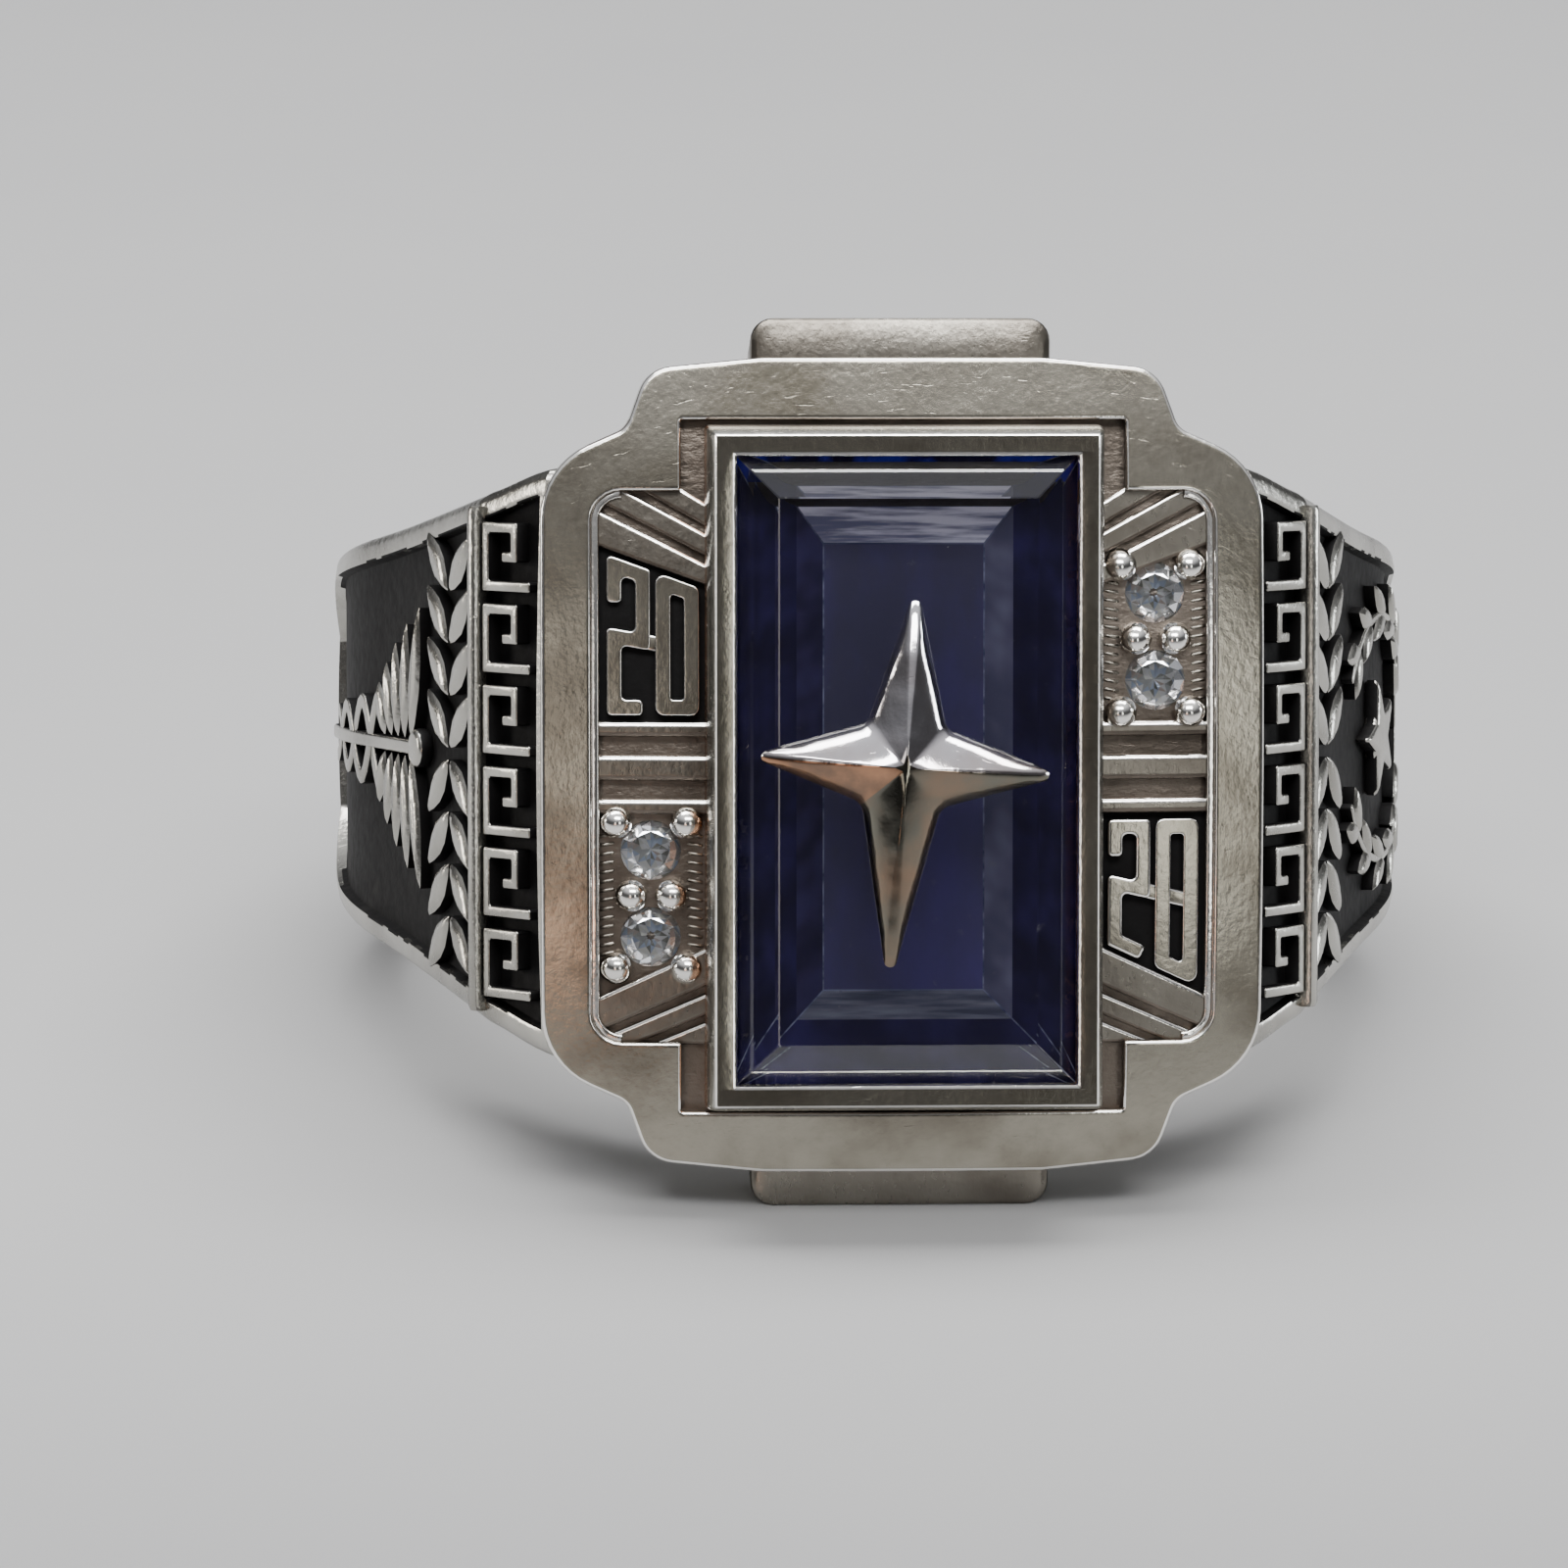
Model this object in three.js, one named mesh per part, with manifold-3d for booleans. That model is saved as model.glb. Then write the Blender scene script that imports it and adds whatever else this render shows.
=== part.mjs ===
// A class ring in white metal, lying on its side as it would on a table. One casting carries the shank, the
// carved shoulders, the stepped head, the stone's box bezel, the year panels and the beads. A rectangular
// step-cut stone, a four-pointed star on its table and four small round stones are pieces of their own.
//
// Lengths are in millimetres. Everything is modelled in the head's own frame: X runs across the head, Y along
// the finger and Z out of the finger through the head, with the origin on the finger hole's axis. The group
// at the end of the file lays the ring on its side, with its lowest point at Z = 0.
import * as THREE from "three";
import { mergeVertices } from "three/addons/utils/BufferGeometryUtils.js";
import Module from "manifold-3d";

const wasm = await Module();
wasm.setup();

// Finger hole and shank
const FINGER_RADIUS = 9.9;
const SHANK_THICKNESS = 1.7;
const SHANK_BACK_WIDTH = 5.8;
const SHANK_HEAD_WIDTH = 11.9;
const SHANK_CROWN = 0.14; // the band's outer face stands this much higher along its middle
const BAND_EDGE = 0.32; // rounding of the band's outer edges
const COMFORT_EDGE = 0.3; // rounding of the band's inner edges
const SHANK_SECTIONS = 72;

// Centre stone and its bezel
const STONE_WIDTH = 6.9;
const STONE_LENGTH = 12.6;
const STONE_GIRDLE = 0.18;
const CROWN_HEIGHT = 0.62;
const PAVILION_DEPTH = 2.1;
const STONE_CLEARANCE = 0.05;
const BEZEL_LIP = 0.1; // the bezel's rim covers this much of the stone's edge
const BEZEL_FLARE = 0.04;
const BEZEL_WALL = 0.5;
const BEZEL_RISE = 0.8; // above the middle of the frame's face
const GIRDLE_DROP = 0.36; // the stone's girdle lies this far under the bezel's rim
const STONE_GAP = 0.05; // under the stone, and twice this over its girdle

// Head frame
const HEAD_RISE = 3.9; // the frame's face above the finger, at the middle
const PLATE_THICKNESS = 1.7;
const DOME_RADIUS = 45;
const FRAME_CHAMFER = 0.13;
const PANEL_WIDTH = 2.35; // from the bezel to the frame's rim
const PANEL_LENGTH = 11.0;
const PANEL_CORNER = 0.6;
const RIM_SIDE = 1.0;
const RIM_END = 1.27;
const SLOT_SIDE_GAP = 0.57; // between the bezel and the frame, past the panels
const SLOT_END_GAP = 0.2;
const RECESS_DEPTH = 0.17;
const FIELD_DEPTH = 0.3; // sunk fields under the panels' relief

// Bars, rays and fields of the side panels, measured from the head's middle
const BAR_HALF = 0.25;
const BAR_GROOVE = 0.37;
const BAR_OUTER = 0.3;
const FIELD_MARGIN = 0.12;
const FIELD_LENGTH = 2.65; // along the bezel, from the bar to the first ray
const RAY_SLOPE = 0.42; // rise of the rays for each unit across
const RAY_STEPS = [0.45, 0.92, 1.42]; // ridge lines past the field, along the bezel
const RAY_DROP = 0.22;
const DIGIT_STROKE = 0.27;
const DIGIT_GAP = 0.1;

// End tabs, one on each end of the head
const TAB_WIDTH = 6.0;
const TAB_REACH = 0.75; // beyond the frame's end
const TAB_DEPTH = 1.3; // of the flat end face, towards the finger
const TAB_CORNER = 0.45;

// Shoulders
const SHOULDER_BEVEL_LENGTH = 2.15;
const SHOULDER_BEVEL_ANGLE = 52; // degrees below the head's face
const SHOULDER_RIM = 0.55;
const SHOULDER_FIELD_DEPTH = 0.34;
const SHOULDER_FIELD_LENGTH = 12.6;
const SHOULDER_FIELD_TAPER = 3.2;
const RIB_WIDTH = 0.36;
const RIB_HEIGHT = 0.1;
const RELIEF_HEIGHT = 0.34;
const BAND_MARGIN = 0.17;
const LEAF_BAND_WIDTH = 2.4;
const EMBLEM_LENGTH = 6.8;

// Round stones and beads
const ACCENT_DIAMETER = 1.36;
const ACCENT_SPACING = 1.74;
const ACCENT_CLEARANCE = 0.03;
const BEAD_RADIUS = 0.28;

// Star on the stone's table
const STAR_ARMS = { right: 2.9, up: 3.3, left: 2.85, down: 4.05 };
const STAR_PLACE = { x: -0.1, y: 0.14 };
const STAR_WAIST = 0.78;
const STAR_TURN = -4; // degrees, clockwise when seen from outside
const STAR_HEIGHT = 0.85;
const STAR_EDGE = 0.14;
const STAR_GAP = 0.03;

const DEGREE = Math.PI / 180;
const SKIN = 0.4; // how far cutters and roots run past the surfaces that they meet

// Heights and half sizes that follow from the sizes above
const shankRadius = FINGER_RADIUS + SHANK_THICKNESS;
const faceHeight = FINGER_RADIUS + HEAD_RISE;
const plateBottom = faceHeight - PLATE_THICKNESS;
const reliefHeight = faceHeight - RECESS_DEPTH;
const fieldHeight = reliefHeight - FIELD_DEPTH;
const bezelTop = faceHeight + BEZEL_RISE;
const girdleHeight = bezelTop - GIRDLE_DROP;
const tableHeight = girdleHeight + CROWN_HEIGHT;
const stoneHalf = { x: STONE_WIDTH / 2, y: STONE_LENGTH / 2 };
const bezelHalf = {
  x: stoneHalf.x - BEZEL_LIP + BEZEL_WALL,
  y: stoneHalf.y - BEZEL_LIP + BEZEL_WALL,
};
const slotHalf = { x: bezelHalf.x + SLOT_SIDE_GAP, y: bezelHalf.y + SLOT_END_GAP };
const panelHalf = { x: bezelHalf.x + PANEL_WIDTH, y: PANEL_LENGTH / 2 };
const frameHalf = { x: panelHalf.x + RIM_SIDE, y: slotHalf.y + RIM_END };

// The highest a domed surface of the head reaches above a point, for a surface that is `top` high at the middle.
const domeAt = (top, x, y) => top - (x * x + y * y) / (2 * DOME_RADIUS);

// Solids

// A closed solid from its corners and triangles. It is turned right way round if its faces point inwards.
function solidFrom(points, triangles) {
  let volume = 0;
  for (let i = 0; i < triangles.length; i += 3) {
    const [a, b, c] = [0, 1, 2].map((k) => points[triangles[i + k]]);
    volume += a.dot(new THREE.Vector3().crossVectors(b, c));
  }
  const order = volume < 0 ? [...triangles].reverse() : triangles;
  const geometry = new THREE.BufferGeometry().setFromPoints(points);
  geometry.setIndex(order);
  return solidOf(geometry);
}

function solidOf(geometry) {
  const bare = geometry.index ? geometry.toNonIndexed() : geometry.clone();
  bare.deleteAttribute("normal");
  bare.deleteAttribute("uv");
  const merged = mergeVertices(bare, 1e-5);
  return new wasm.Manifold(
    new wasm.Mesh({
      numProp: 3,
      vertProperties: merged.attributes.position.array,
      triVerts: new Uint32Array(merged.index.array),
    }),
  );
}

function meshOf(name, solid, material) {
  const made = solid.getMesh();
  const geometry = new THREE.BufferGeometry();
  geometry.setAttribute("position", new THREE.BufferAttribute(made.vertProperties, made.numProp));
  geometry.setIndex(new THREE.BufferAttribute(made.triVerts, 1));
  geometry.computeVertexNormals();
  const mesh = new THREE.Mesh(geometry, material);
  mesh.name = name;
  return mesh;
}

const join = (solids) => solids.reduce((whole, next) => whole.add(next));

// The skin through rings of points that match one to one, closed on itself or capped at both ends.
function loft(rings, closed = false, capOutline = null) {
  const count = rings[0].length;
  const triangles = [];
  const spans = closed ? rings.length : rings.length - 1;
  for (let i = 0; i < spans; i++) {
    const low = i * count;
    const high = ((i + 1) % rings.length) * count;
    for (let j = 0; j < count; j++) {
      const next = (j + 1) % count;
      triangles.push(low + j, low + next, high + next, low + j, high + next, high + j);
    }
  }
  if (!closed) {
    const outline = capOutline || rings[0].map((p) => new THREE.Vector2(p.x, p.y));
    const last = (rings.length - 1) * count;
    const area = THREE.ShapeUtils.area(outline);
    for (const face of THREE.ShapeUtils.triangulateShape(outline, [])) {
      const turned = THREE.ShapeUtils.area(face.map((k) => outline[k])) * area < 0;
      const [a, b, c] = turned ? face.reverse() : face;
      triangles.push(c, b, a, last + a, last + b, last + c);
    }
  }
  return solidFrom(rings.flat(), triangles);
}

// A plane outline with rounded corners. Each corner is {x, y, round}, and long edges get points `step` apart.
function roundedOutline(corners, step = Infinity) {
  const outline = [];
  corners.forEach((corner, i) => {
    const here = new THREE.Vector2(corner.x, corner.y);
    const before = corners[(i + corners.length - 1) % corners.length];
    const after = corners[(i + 1) % corners.length];
    const back = new THREE.Vector2(before.x, before.y).sub(here).normalize();
    const ahead = new THREE.Vector2(after.x, after.y).sub(here).normalize();
    const half = Math.acos(THREE.MathUtils.clamp(back.dot(ahead), -1, 1)) / 2;
    const round = corner.round || 0;
    if (round < 0.02 || half > 1.55) {
      outline.push(here);
      return;
    }
    const middle = back.clone().add(ahead).normalize();
    const centre = here.clone().addScaledVector(middle, round / Math.sin(half));
    const reach = round / Math.tan(half);
    const start = here.clone().addScaledVector(back, reach).sub(centre).angle();
    let sweep = here.clone().addScaledVector(ahead, reach).sub(centre).angle() - start;
    sweep = Math.atan2(Math.sin(sweep), Math.cos(sweep));
    const pieces = Math.max(2, Math.ceil(Math.abs(sweep) / (28 * DEGREE)));
    for (let k = 0; k <= pieces; k++) {
      const turn = start + (sweep * k) / pieces;
      const spoke = new THREE.Vector2(Math.cos(turn), Math.sin(turn)).multiplyScalar(round);
      outline.push(spoke.add(centre));
    }
  });
  return outline.flatMap((point, i) => {
    const next = outline[(i + 1) % outline.length];
    const parts = Math.max(1, Math.ceil(point.distanceTo(next) / step));
    return Array.from({ length: parts }, (_, k) => point.clone().lerp(next, k / parts));
  });
}

// An outline given for one quarter of the head, mirrored to all four.
function mirroredOutline(quarter) {
  const back = [...quarter].reverse();
  const mirrored = (list, sx, sy) => list.map((c) => ({ ...c, x: c.x * sx, y: c.y * sy }));
  return [
    ...quarter,
    ...mirrored(back, -1, 1),
    ...mirrored(quarter, -1, -1),
    ...mirrored(back, 1, -1),
  ];
}

// An outline moved inwards by `inset`, point by point along its corners' middle lines.
function insetOutline(outline, inset) {
  return outline.map((point, i) => {
    const before = outline[(i + outline.length - 1) % outline.length];
    const after = outline[(i + 1) % outline.length];
    const a = point.clone().sub(before).normalize();
    const b = after.clone().sub(point).normalize();
    const inward = new THREE.Vector2(-a.y - b.y, a.x + b.x).normalize();
    const spread = Math.max(0.5, inward.dot(new THREE.Vector2(-a.y, a.x)));
    return point.clone().addScaledVector(inward, inset / spread);
  });
}

const atHeight = (outline, z) => outline.map((p) => new THREE.Vector3(p.x, p.y, z));

const prism = (outline, low, high) => loft([atHeight(outline, low), atHeight(outline, high)]);

function rectangle(half, round = 0) {
  return roundedOutline([
    { x: half.x, y: -half.y, round },
    { x: half.x, y: half.y, round },
    { x: -half.x, y: half.y, round },
    { x: -half.x, y: -half.y, round },
  ]);
}

// The band between two offsets of a line of points: a stroke of constant width with mitred corners.
function strokeSolid(points, width, closed, low, high) {
  const count = points.length;
  const side = (sign) =>
    points.map((point, i) => {
      const before = closed ? points[(i + count - 1) % count] : points[Math.max(0, i - 1)];
      const after = closed ? points[(i + 1) % count] : points[Math.min(count - 1, i + 1)];
      const a = point.clone().sub(before).normalize();
      const b = after.clone().sub(point).normalize();
      if (a.length() === 0) a.copy(b);
      if (b.length() === 0) b.copy(a);
      const across = new THREE.Vector2(-a.y - b.y, a.x + b.x).normalize();
      const spread = Math.max(0.4, across.dot(new THREE.Vector2(-a.y, a.x)));
      return point.clone().addScaledVector(across, (sign * width) / 2 / spread);
    });
  if (!closed) return prism([...side(-1), ...side(1).reverse()], low, high);
  const outer = side(-1);
  const inner = side(1);
  const area = (list) => Math.abs(THREE.ShapeUtils.area(list));
  const [wide, narrow] = area(outer) > area(inner) ? [outer, inner] : [inner, outer];
  return prism(wide, low, high).subtract(prism(narrow, low - SKIN, high + SKIN));
}

// Everything under a domed surface that is `top` high at the middle of the head.
function underDome(top) {
  const reach = frameHalf.x + frameHalf.y;
  const rings = 8;
  const profile = [new THREE.Vector2(0, 0), new THREE.Vector2(reach, 0)];
  for (let i = rings; i >= 0; i--) {
    const radius = (reach * i) / rings;
    profile.push(new THREE.Vector2(radius, domeAt(top, radius, 0)));
  }
  return solidOf(new THREE.LatheGeometry(profile, 32).rotateX(Math.PI / 2));
}

// Shank

// The profile of one shoulder, seen along the finger, from the frame's side down: a short steep bevel from
// `top` to `knee`, then a straight flank that runs into the shank's circle at `tangentAngle` from the head.
const bevel = SHOULDER_BEVEL_ANGLE * DEGREE;
const bevelAlong = new THREE.Vector2(Math.cos(bevel), -Math.sin(bevel));
const top = new THREE.Vector2(frameHalf.x, plateBottom);
const knee = top.clone().addScaledVector(bevelAlong, SHOULDER_BEVEL_LENGTH);
const kneeAngle = Math.atan2(knee.x, knee.y);
const tangentAngle = kneeAngle + Math.acos(shankRadius / knee.length());
const flankLength = Math.sqrt(knee.lengthSq() - shankRadius ** 2);
const topAngle = Math.atan2(top.x, top.y);

// Outer radius of the shank at an angle from the head, in radians from 0 to pi.
function outerRadiusAt(angle) {
  if (angle >= tangentAngle) return shankRadius;
  if (angle >= kneeAngle) return shankRadius / Math.cos(tangentAngle - angle);
  if (angle >= topAngle) {
    const facing = Math.atan2(-bevelAlong.y, bevelAlong.x);
    const distance = knee.x * Math.sin(facing) + knee.y * Math.cos(facing);
    return distance / Math.cos(facing - angle);
  }
  return plateBottom / Math.cos(angle);
}

// Width of the band round the ring: degrees from the head, and the share of the way from the back's width
// to the head's width.
const WIDTH_TABLE = [
  { angle: 0, share: 1.0 },
  { angle: 30, share: 1.0 },
  { angle: 39, share: 0.82 },
  { angle: 58, share: 0.57 },
  { angle: 77, share: 0.39 },
  { angle: 90, share: 0.29 },
  { angle: 135, share: 0.1 },
  { angle: 180, share: 0.0 },
];

function halfWidthAt(angle) {
  const degrees = angle / DEGREE;
  const last = WIDTH_TABLE.length - 1;
  let i = 0;
  while (i < last - 1 && degrees > WIDTH_TABLE[i + 1].angle) i++;
  const slope = (k) => {
    const a = WIDTH_TABLE[Math.max(0, k - 1)];
    const b = WIDTH_TABLE[Math.min(last, k + 1)];
    return k === 0 || k === last ? 0 : (b.share - a.share) / (b.angle - a.angle);
  };
  const [low, high] = [WIDTH_TABLE[i], WIDTH_TABLE[i + 1]];
  const span = high.angle - low.angle;
  const t = THREE.MathUtils.clamp((degrees - low.angle) / span, 0, 1);
  const share =
    (2 * t ** 3 - 3 * t ** 2 + 1) * low.share +
    (t ** 3 - 2 * t ** 2 + t) * span * slope(i) +
    (-2 * t ** 3 + 3 * t ** 2) * high.share +
    (t ** 3 - t ** 2) * span * slope(i + 1);
  return (SHANK_BACK_WIDTH + (SHANK_HEAD_WIDTH - SHANK_BACK_WIDTH) * share) / 2;
}

// Half of the band's section, from the bore to the crown, as {radius, y}.
function halfSection(angle) {
  const half = halfWidthAt(angle);
  const outer = outerRadiusAt(angle);
  const edge = outer - SHANK_CROWN;
  const comfort = COMFORT_EDGE;
  return [
    { radius: FINGER_RADIUS - SKIN / 2, y: half - comfort - SKIN / 2 },
    { radius: FINGER_RADIUS + comfort, y: half },
    { radius: edge - BAND_EDGE, y: half },
    { radius: edge - BAND_EDGE * 0.3, y: half - BAND_EDGE * 0.3 },
    { radius: edge, y: half - BAND_EDGE },
  ];
}

function shankSolid() {
  const rings = Array.from({ length: SHANK_SECTIONS }, (_, i) => {
    const turn = (i / SHANK_SECTIONS) * 2 * Math.PI;
    const angle = turn > Math.PI ? 2 * Math.PI - turn : turn;
    const half = halfSection(angle);
    const middle = { radius: outerRadiusAt(angle), y: 0 };
    const mirrored = half.map((p) => ({ radius: p.radius, y: -p.y })).reverse();
    return [...half, middle, ...mirrored].map(
      (p) => new THREE.Vector3(p.radius * Math.sin(turn), p.y, p.radius * Math.cos(turn)),
    );
  });
  return loft(rings, true);
}

const boreSolid = () =>
  solidOf(
    new THREE.CylinderGeometry(
      FINGER_RADIUS,
      FINGER_RADIUS,
      4 * frameHalf.y,
      SHANK_SECTIONS,
    ),
  );

// Head

// The stepped outline of the frame, for one quarter, as shares of its half width and half length.
const FRAME_CORNERS = [
  { across: 1.0, along: 0.73, round: 1.6 },
  { across: 0.764, along: 0.822, round: 0.45 },
  { across: 0.705, along: 0.967, round: 0.75 },
  { across: 0.39, along: 0.994, round: 2.0 },
];
const frameOutline = roundedOutline(
  mirroredOutline(
    FRAME_CORNERS.map((c) => ({ x: c.across * frameHalf.x, y: c.along * frameHalf.y, round: c.round })),
  ),
  2.4,
);

// The frame's plate, with a chamfer along its domed edge. The dome cuts its top.
function plateSolid() {
  const low = insetOutline(frameOutline, FRAME_CHAMFER);
  const high = insetOutline(frameOutline, FRAME_CHAMFER + SKIN);
  const edge = (p, rise) => new THREE.Vector3(p.x, p.y, domeAt(faceHeight, p.x, p.y) + rise);
  const raised = high.map((p, i) => {
    const lift = edge(frameOutline[i], SKIN).z;
    return new THREE.Vector3(p.x, p.y, lift);
  });
  const blank = loft([
    atHeight(low, plateBottom),
    atHeight(frameOutline, plateBottom + FRAME_CHAMFER),
    frameOutline.map((p) => edge(p, -FRAME_CHAMFER)),
    raised,
    atHeight(high, faceHeight + 1),
  ]);
  return blank.intersect(underDome(faceHeight));
}

// Sections of the gallery under the plate: height as a share of the way up from the finger's side, and the
// shares of the frame's half width and half length.
const GALLERY_SECTIONS = [
  { up: -1.45, across: 0.9, along: 0.6 },
  { up: -0.1, across: 0.93, along: 0.76 },
  { up: 0.55, across: 0.95, along: 0.9 },
  { up: 1.02, across: 0.95, along: 0.95 },
];

function gallerySolid() {
  const rise = plateBottom - FINGER_RADIUS;
  const rings = GALLERY_SECTIONS.map((section) =>
    frameOutline.map(
      (p) => new THREE.Vector3(p.x * section.across, p.y * section.along, FINGER_RADIUS + rise * section.up),
    ),
  );
  return loft(rings);
}

// The ring rests on the flat end of a tab and on the back of the shank. Both ends of the head have the same
// draft, which is the slope of the plane through the tab's upper edge and the back of the band.
const tabTop = plateBottom;
const tabHalf = { x: TAB_WIDTH / 2, y: frameHalf.y + TAB_REACH };
const draft = Math.min(
  ...halfSection(Math.PI).map((p) => (tabHalf.y - p.y) / (tabTop + p.radius)),
);
const restAngle = Math.atan(draft);

function tabSolid(end) {
  const reachAt = (z) => tabHalf.y - (tabTop - z) * draft;
  const flatEnd = tabTop - TAB_DEPTH;
  const ring = (z, reach, inset) => {
    const x = tabHalf.x - inset;
    return atHeight(
      roundedOutline([
        { x: -x, y: 0 },
        { x, y: 0 },
        { x, y: reach, round: TAB_CORNER },
        { x: -x, y: reach, round: TAB_CORNER },
      ]),
      z,
    ).map((p) => new THREE.Vector3(p.x, p.y * end, p.z));
  };
  return loft([
    ring(FINGER_RADIUS - SKIN, reachAt(flatEnd) - 2.6, 0.7),
    ring(flatEnd, reachAt(flatEnd), 0),
    ring(tabTop, reachAt(tabTop), 0),
    ring(tabTop + SKIN, reachAt(tabTop) - 1.1, 0.2),
  ]);
}

// Side panels

const recessOutline = roundedOutline(
  mirroredOutline([
    { x: panelHalf.x, y: panelHalf.y, round: PANEL_CORNER },
    { x: slotHalf.x, y: panelHalf.y },
    { x: slotHalf.x, y: slotHalf.y },
  ]),
);

const aboveDome = (outline, height) => prism(outline, plateBottom, bezelTop).subtract(underDome(height));

const barEdge = BAR_HALF + BAR_GROOVE + BAR_OUTER;
const fieldStart = barEdge + FIELD_MARGIN / 2;
const rayAt = (offset, x) => barEdge + FIELD_LENGTH + offset + RAY_SLOPE * (x - bezelHalf.x);
const fieldInner = bezelHalf.x + FIELD_MARGIN;
const fieldOuter = panelHalf.x - FIELD_MARGIN;

// The sunk field of one panel, in the quarter x > 0, y > 0.
const fieldOutline = [
  new THREE.Vector2(fieldInner, fieldStart),
  new THREE.Vector2(fieldOuter, fieldStart),
  new THREE.Vector2(fieldOuter, rayAt(0, fieldOuter)),
  new THREE.Vector2(fieldInner, rayAt(0, fieldInner)),
];

const quarters = [
  { name: "upper_left", x: -1, y: 1, digits: "20" },
  { name: "upper_right", x: 1, y: 1 },
  { name: "lower_left", x: -1, y: -1 },
  { name: "lower_right", x: 1, y: -1, digits: "28" },
];

const inQuarter = (quarter, points) => points.map((p) => new THREE.Vector2(p.x * quarter.x, p.y * quarter.y));

// The ramps between the rays: each falls from one ridge line to the foot of the next.
function rayCuts(quarter) {
  const across = [bezelHalf.x - BEZEL_WALL / 2, panelHalf.x + SKIN];
  return RAY_STEPS.map((offset, i) => {
    const next = RAY_STEPS[i + 1] ?? offset + RAY_STEPS[1] - RAY_STEPS[0];
    const rings = across.map((x) => {
      const near = rayAt(offset, x);
      const far = rayAt(next - 0.04, x);
      const level = domeAt(reliefHeight, x, near);
      return [
        { y: near, z: level },
        { y: far, z: level - RAY_DROP },
        { y: far, z: bezelTop },
        { y: near, z: bezelTop },
      ].map((p) => new THREE.Vector3(x * quarter.x, p.y * quarter.y, p.z));
    });
    const cap = rings[0].map((p) => new THREE.Vector2(p.y, p.z));
    return loft(rings, false, cap);
  });
}

function panelCuts() {
  const grooves = quarters.map((quarter) =>
    aboveDome(
      inQuarter(quarter, [
        new THREE.Vector2(bezelHalf.x - BEZEL_WALL / 2, BAR_HALF),
        new THREE.Vector2(panelHalf.x, BAR_HALF),
        new THREE.Vector2(panelHalf.x, BAR_HALF + BAR_GROOVE),
        new THREE.Vector2(bezelHalf.x - BEZEL_WALL / 2, BAR_HALF + BAR_GROOVE),
      ]),
      reliefHeight - RAY_DROP,
    ),
  );
  const fields = quarters.map((quarter) => aboveDome(inQuarter(quarter, fieldOutline), fieldHeight));
  const rays = join(quarters.flatMap(rayCuts));
  const panel = prism(rectangle(panelHalf, PANEL_CORNER), plateBottom, bezelTop);
  return join([...grooves, ...fields, rays.intersect(panel)]);
}

// Block numerals as lines in a unit square, from the foot of the numeral (0) to its head (1).
const NUMERALS = {
  2: { closed: false, path: [[0, 0.74], [0, 1], [1, 1], [1, 0.5], [0, 0.5], [0, 0], [1, 0]] },
  0: { closed: true, path: [[0, 0], [1, 0], [1, 1], [0, 1]] },
  8: { closed: true, path: [[0, 0], [1, 0], [1, 1], [0, 1]], bar: 0.5 },
};

// Two raised numerals that fill a field. Their heads or feet follow the field's slanted edge.
function numeralSolids(quarter) {
  const room = DIGIT_STROKE / 2 + FIELD_MARGIN;
  const width = (fieldOuter - fieldInner - 2 * FIELD_MARGIN - DIGIT_GAP) / 2 - DIGIT_STROKE;
  const starts = [fieldInner + room, fieldInner + room + width + DIGIT_STROKE + DIGIT_GAP];
  const order = quarter.x > 0 ? [0, 1] : [1, 0]; // the first numeral is the one further left
  return [...quarter.digits].flatMap((digit, i) => {
    const { closed, path, bar } = NUMERALS[digit];
    const start = starts[order[i]];
    const place = ([u, t]) => {
      const x = start + width * (quarter.x > 0 ? u : 1 - u);
      const low = fieldStart + room;
      const high = rayAt(0, x) - room * 1.1;
      const share = quarter.y > 0 ? t : 1 - t;
      return new THREE.Vector2(x * quarter.x, (low + (high - low) * share) * quarter.y);
    };
    const solids = [strokeSolid(path.map(place), DIGIT_STROKE, closed, plateBottom, bezelTop)];
    if (bar !== undefined) {
      const line = [[0, bar], [1, bar]].map(place);
      solids.push(strokeSolid(line, DIGIT_STROKE, false, plateBottom, bezelTop));
    }
    return solids;
  });
}

// Bezel and centre stone

// The outlines of a mitred step cut, from the culet up: shares of the stone's half sizes less an inset, and
// the height over the girdle.
const STONE_STEPS = [
  { inset: 1.85, z: -PAVILION_DEPTH },
  { inset: 0.95, z: -PAVILION_DEPTH * 0.55 },
  { inset: 0, z: -STONE_GIRDLE },
  { inset: 0, z: 0 },
  { inset: 0.42, z: CROWN_HEIGHT * 0.62 },
  { inset: 0.9, z: CROWN_HEIGHT },
];

function stoneSolid(grow = 0, steps = STONE_STEPS) {
  return loft(
    steps.map(({ inset, z }) => {
      const half = { x: stoneHalf.x - inset + grow, y: stoneHalf.y - inset + grow };
      return atHeight(rectangle(half), girdleHeight + z);
    }),
  );
}

// The space that the stone needs below the bezel's lip, and the opening inside the lip.
function stoneSeat() {
  const below = STONE_STEPS.slice(0, 4).map((step, i) => ({
    inset: step.inset,
    z: step.z + (i < 3 ? -STONE_GAP : 2 * STONE_GAP),
  }));
  const opening = { x: stoneHalf.x - BEZEL_LIP, y: stoneHalf.y - BEZEL_LIP };
  const flared = { x: opening.x + BEZEL_FLARE, y: opening.y + BEZEL_FLARE };
  const mouth = loft([
    atHeight(rectangle(opening), girdleHeight - STONE_GIRDLE),
    atHeight(rectangle(opening), bezelTop - GIRDLE_DROP * 0.45),
    atHeight(rectangle(flared), bezelTop + SKIN),
  ]);
  return stoneSolid(STONE_CLEARANCE, below).add(mouth);
}

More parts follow.
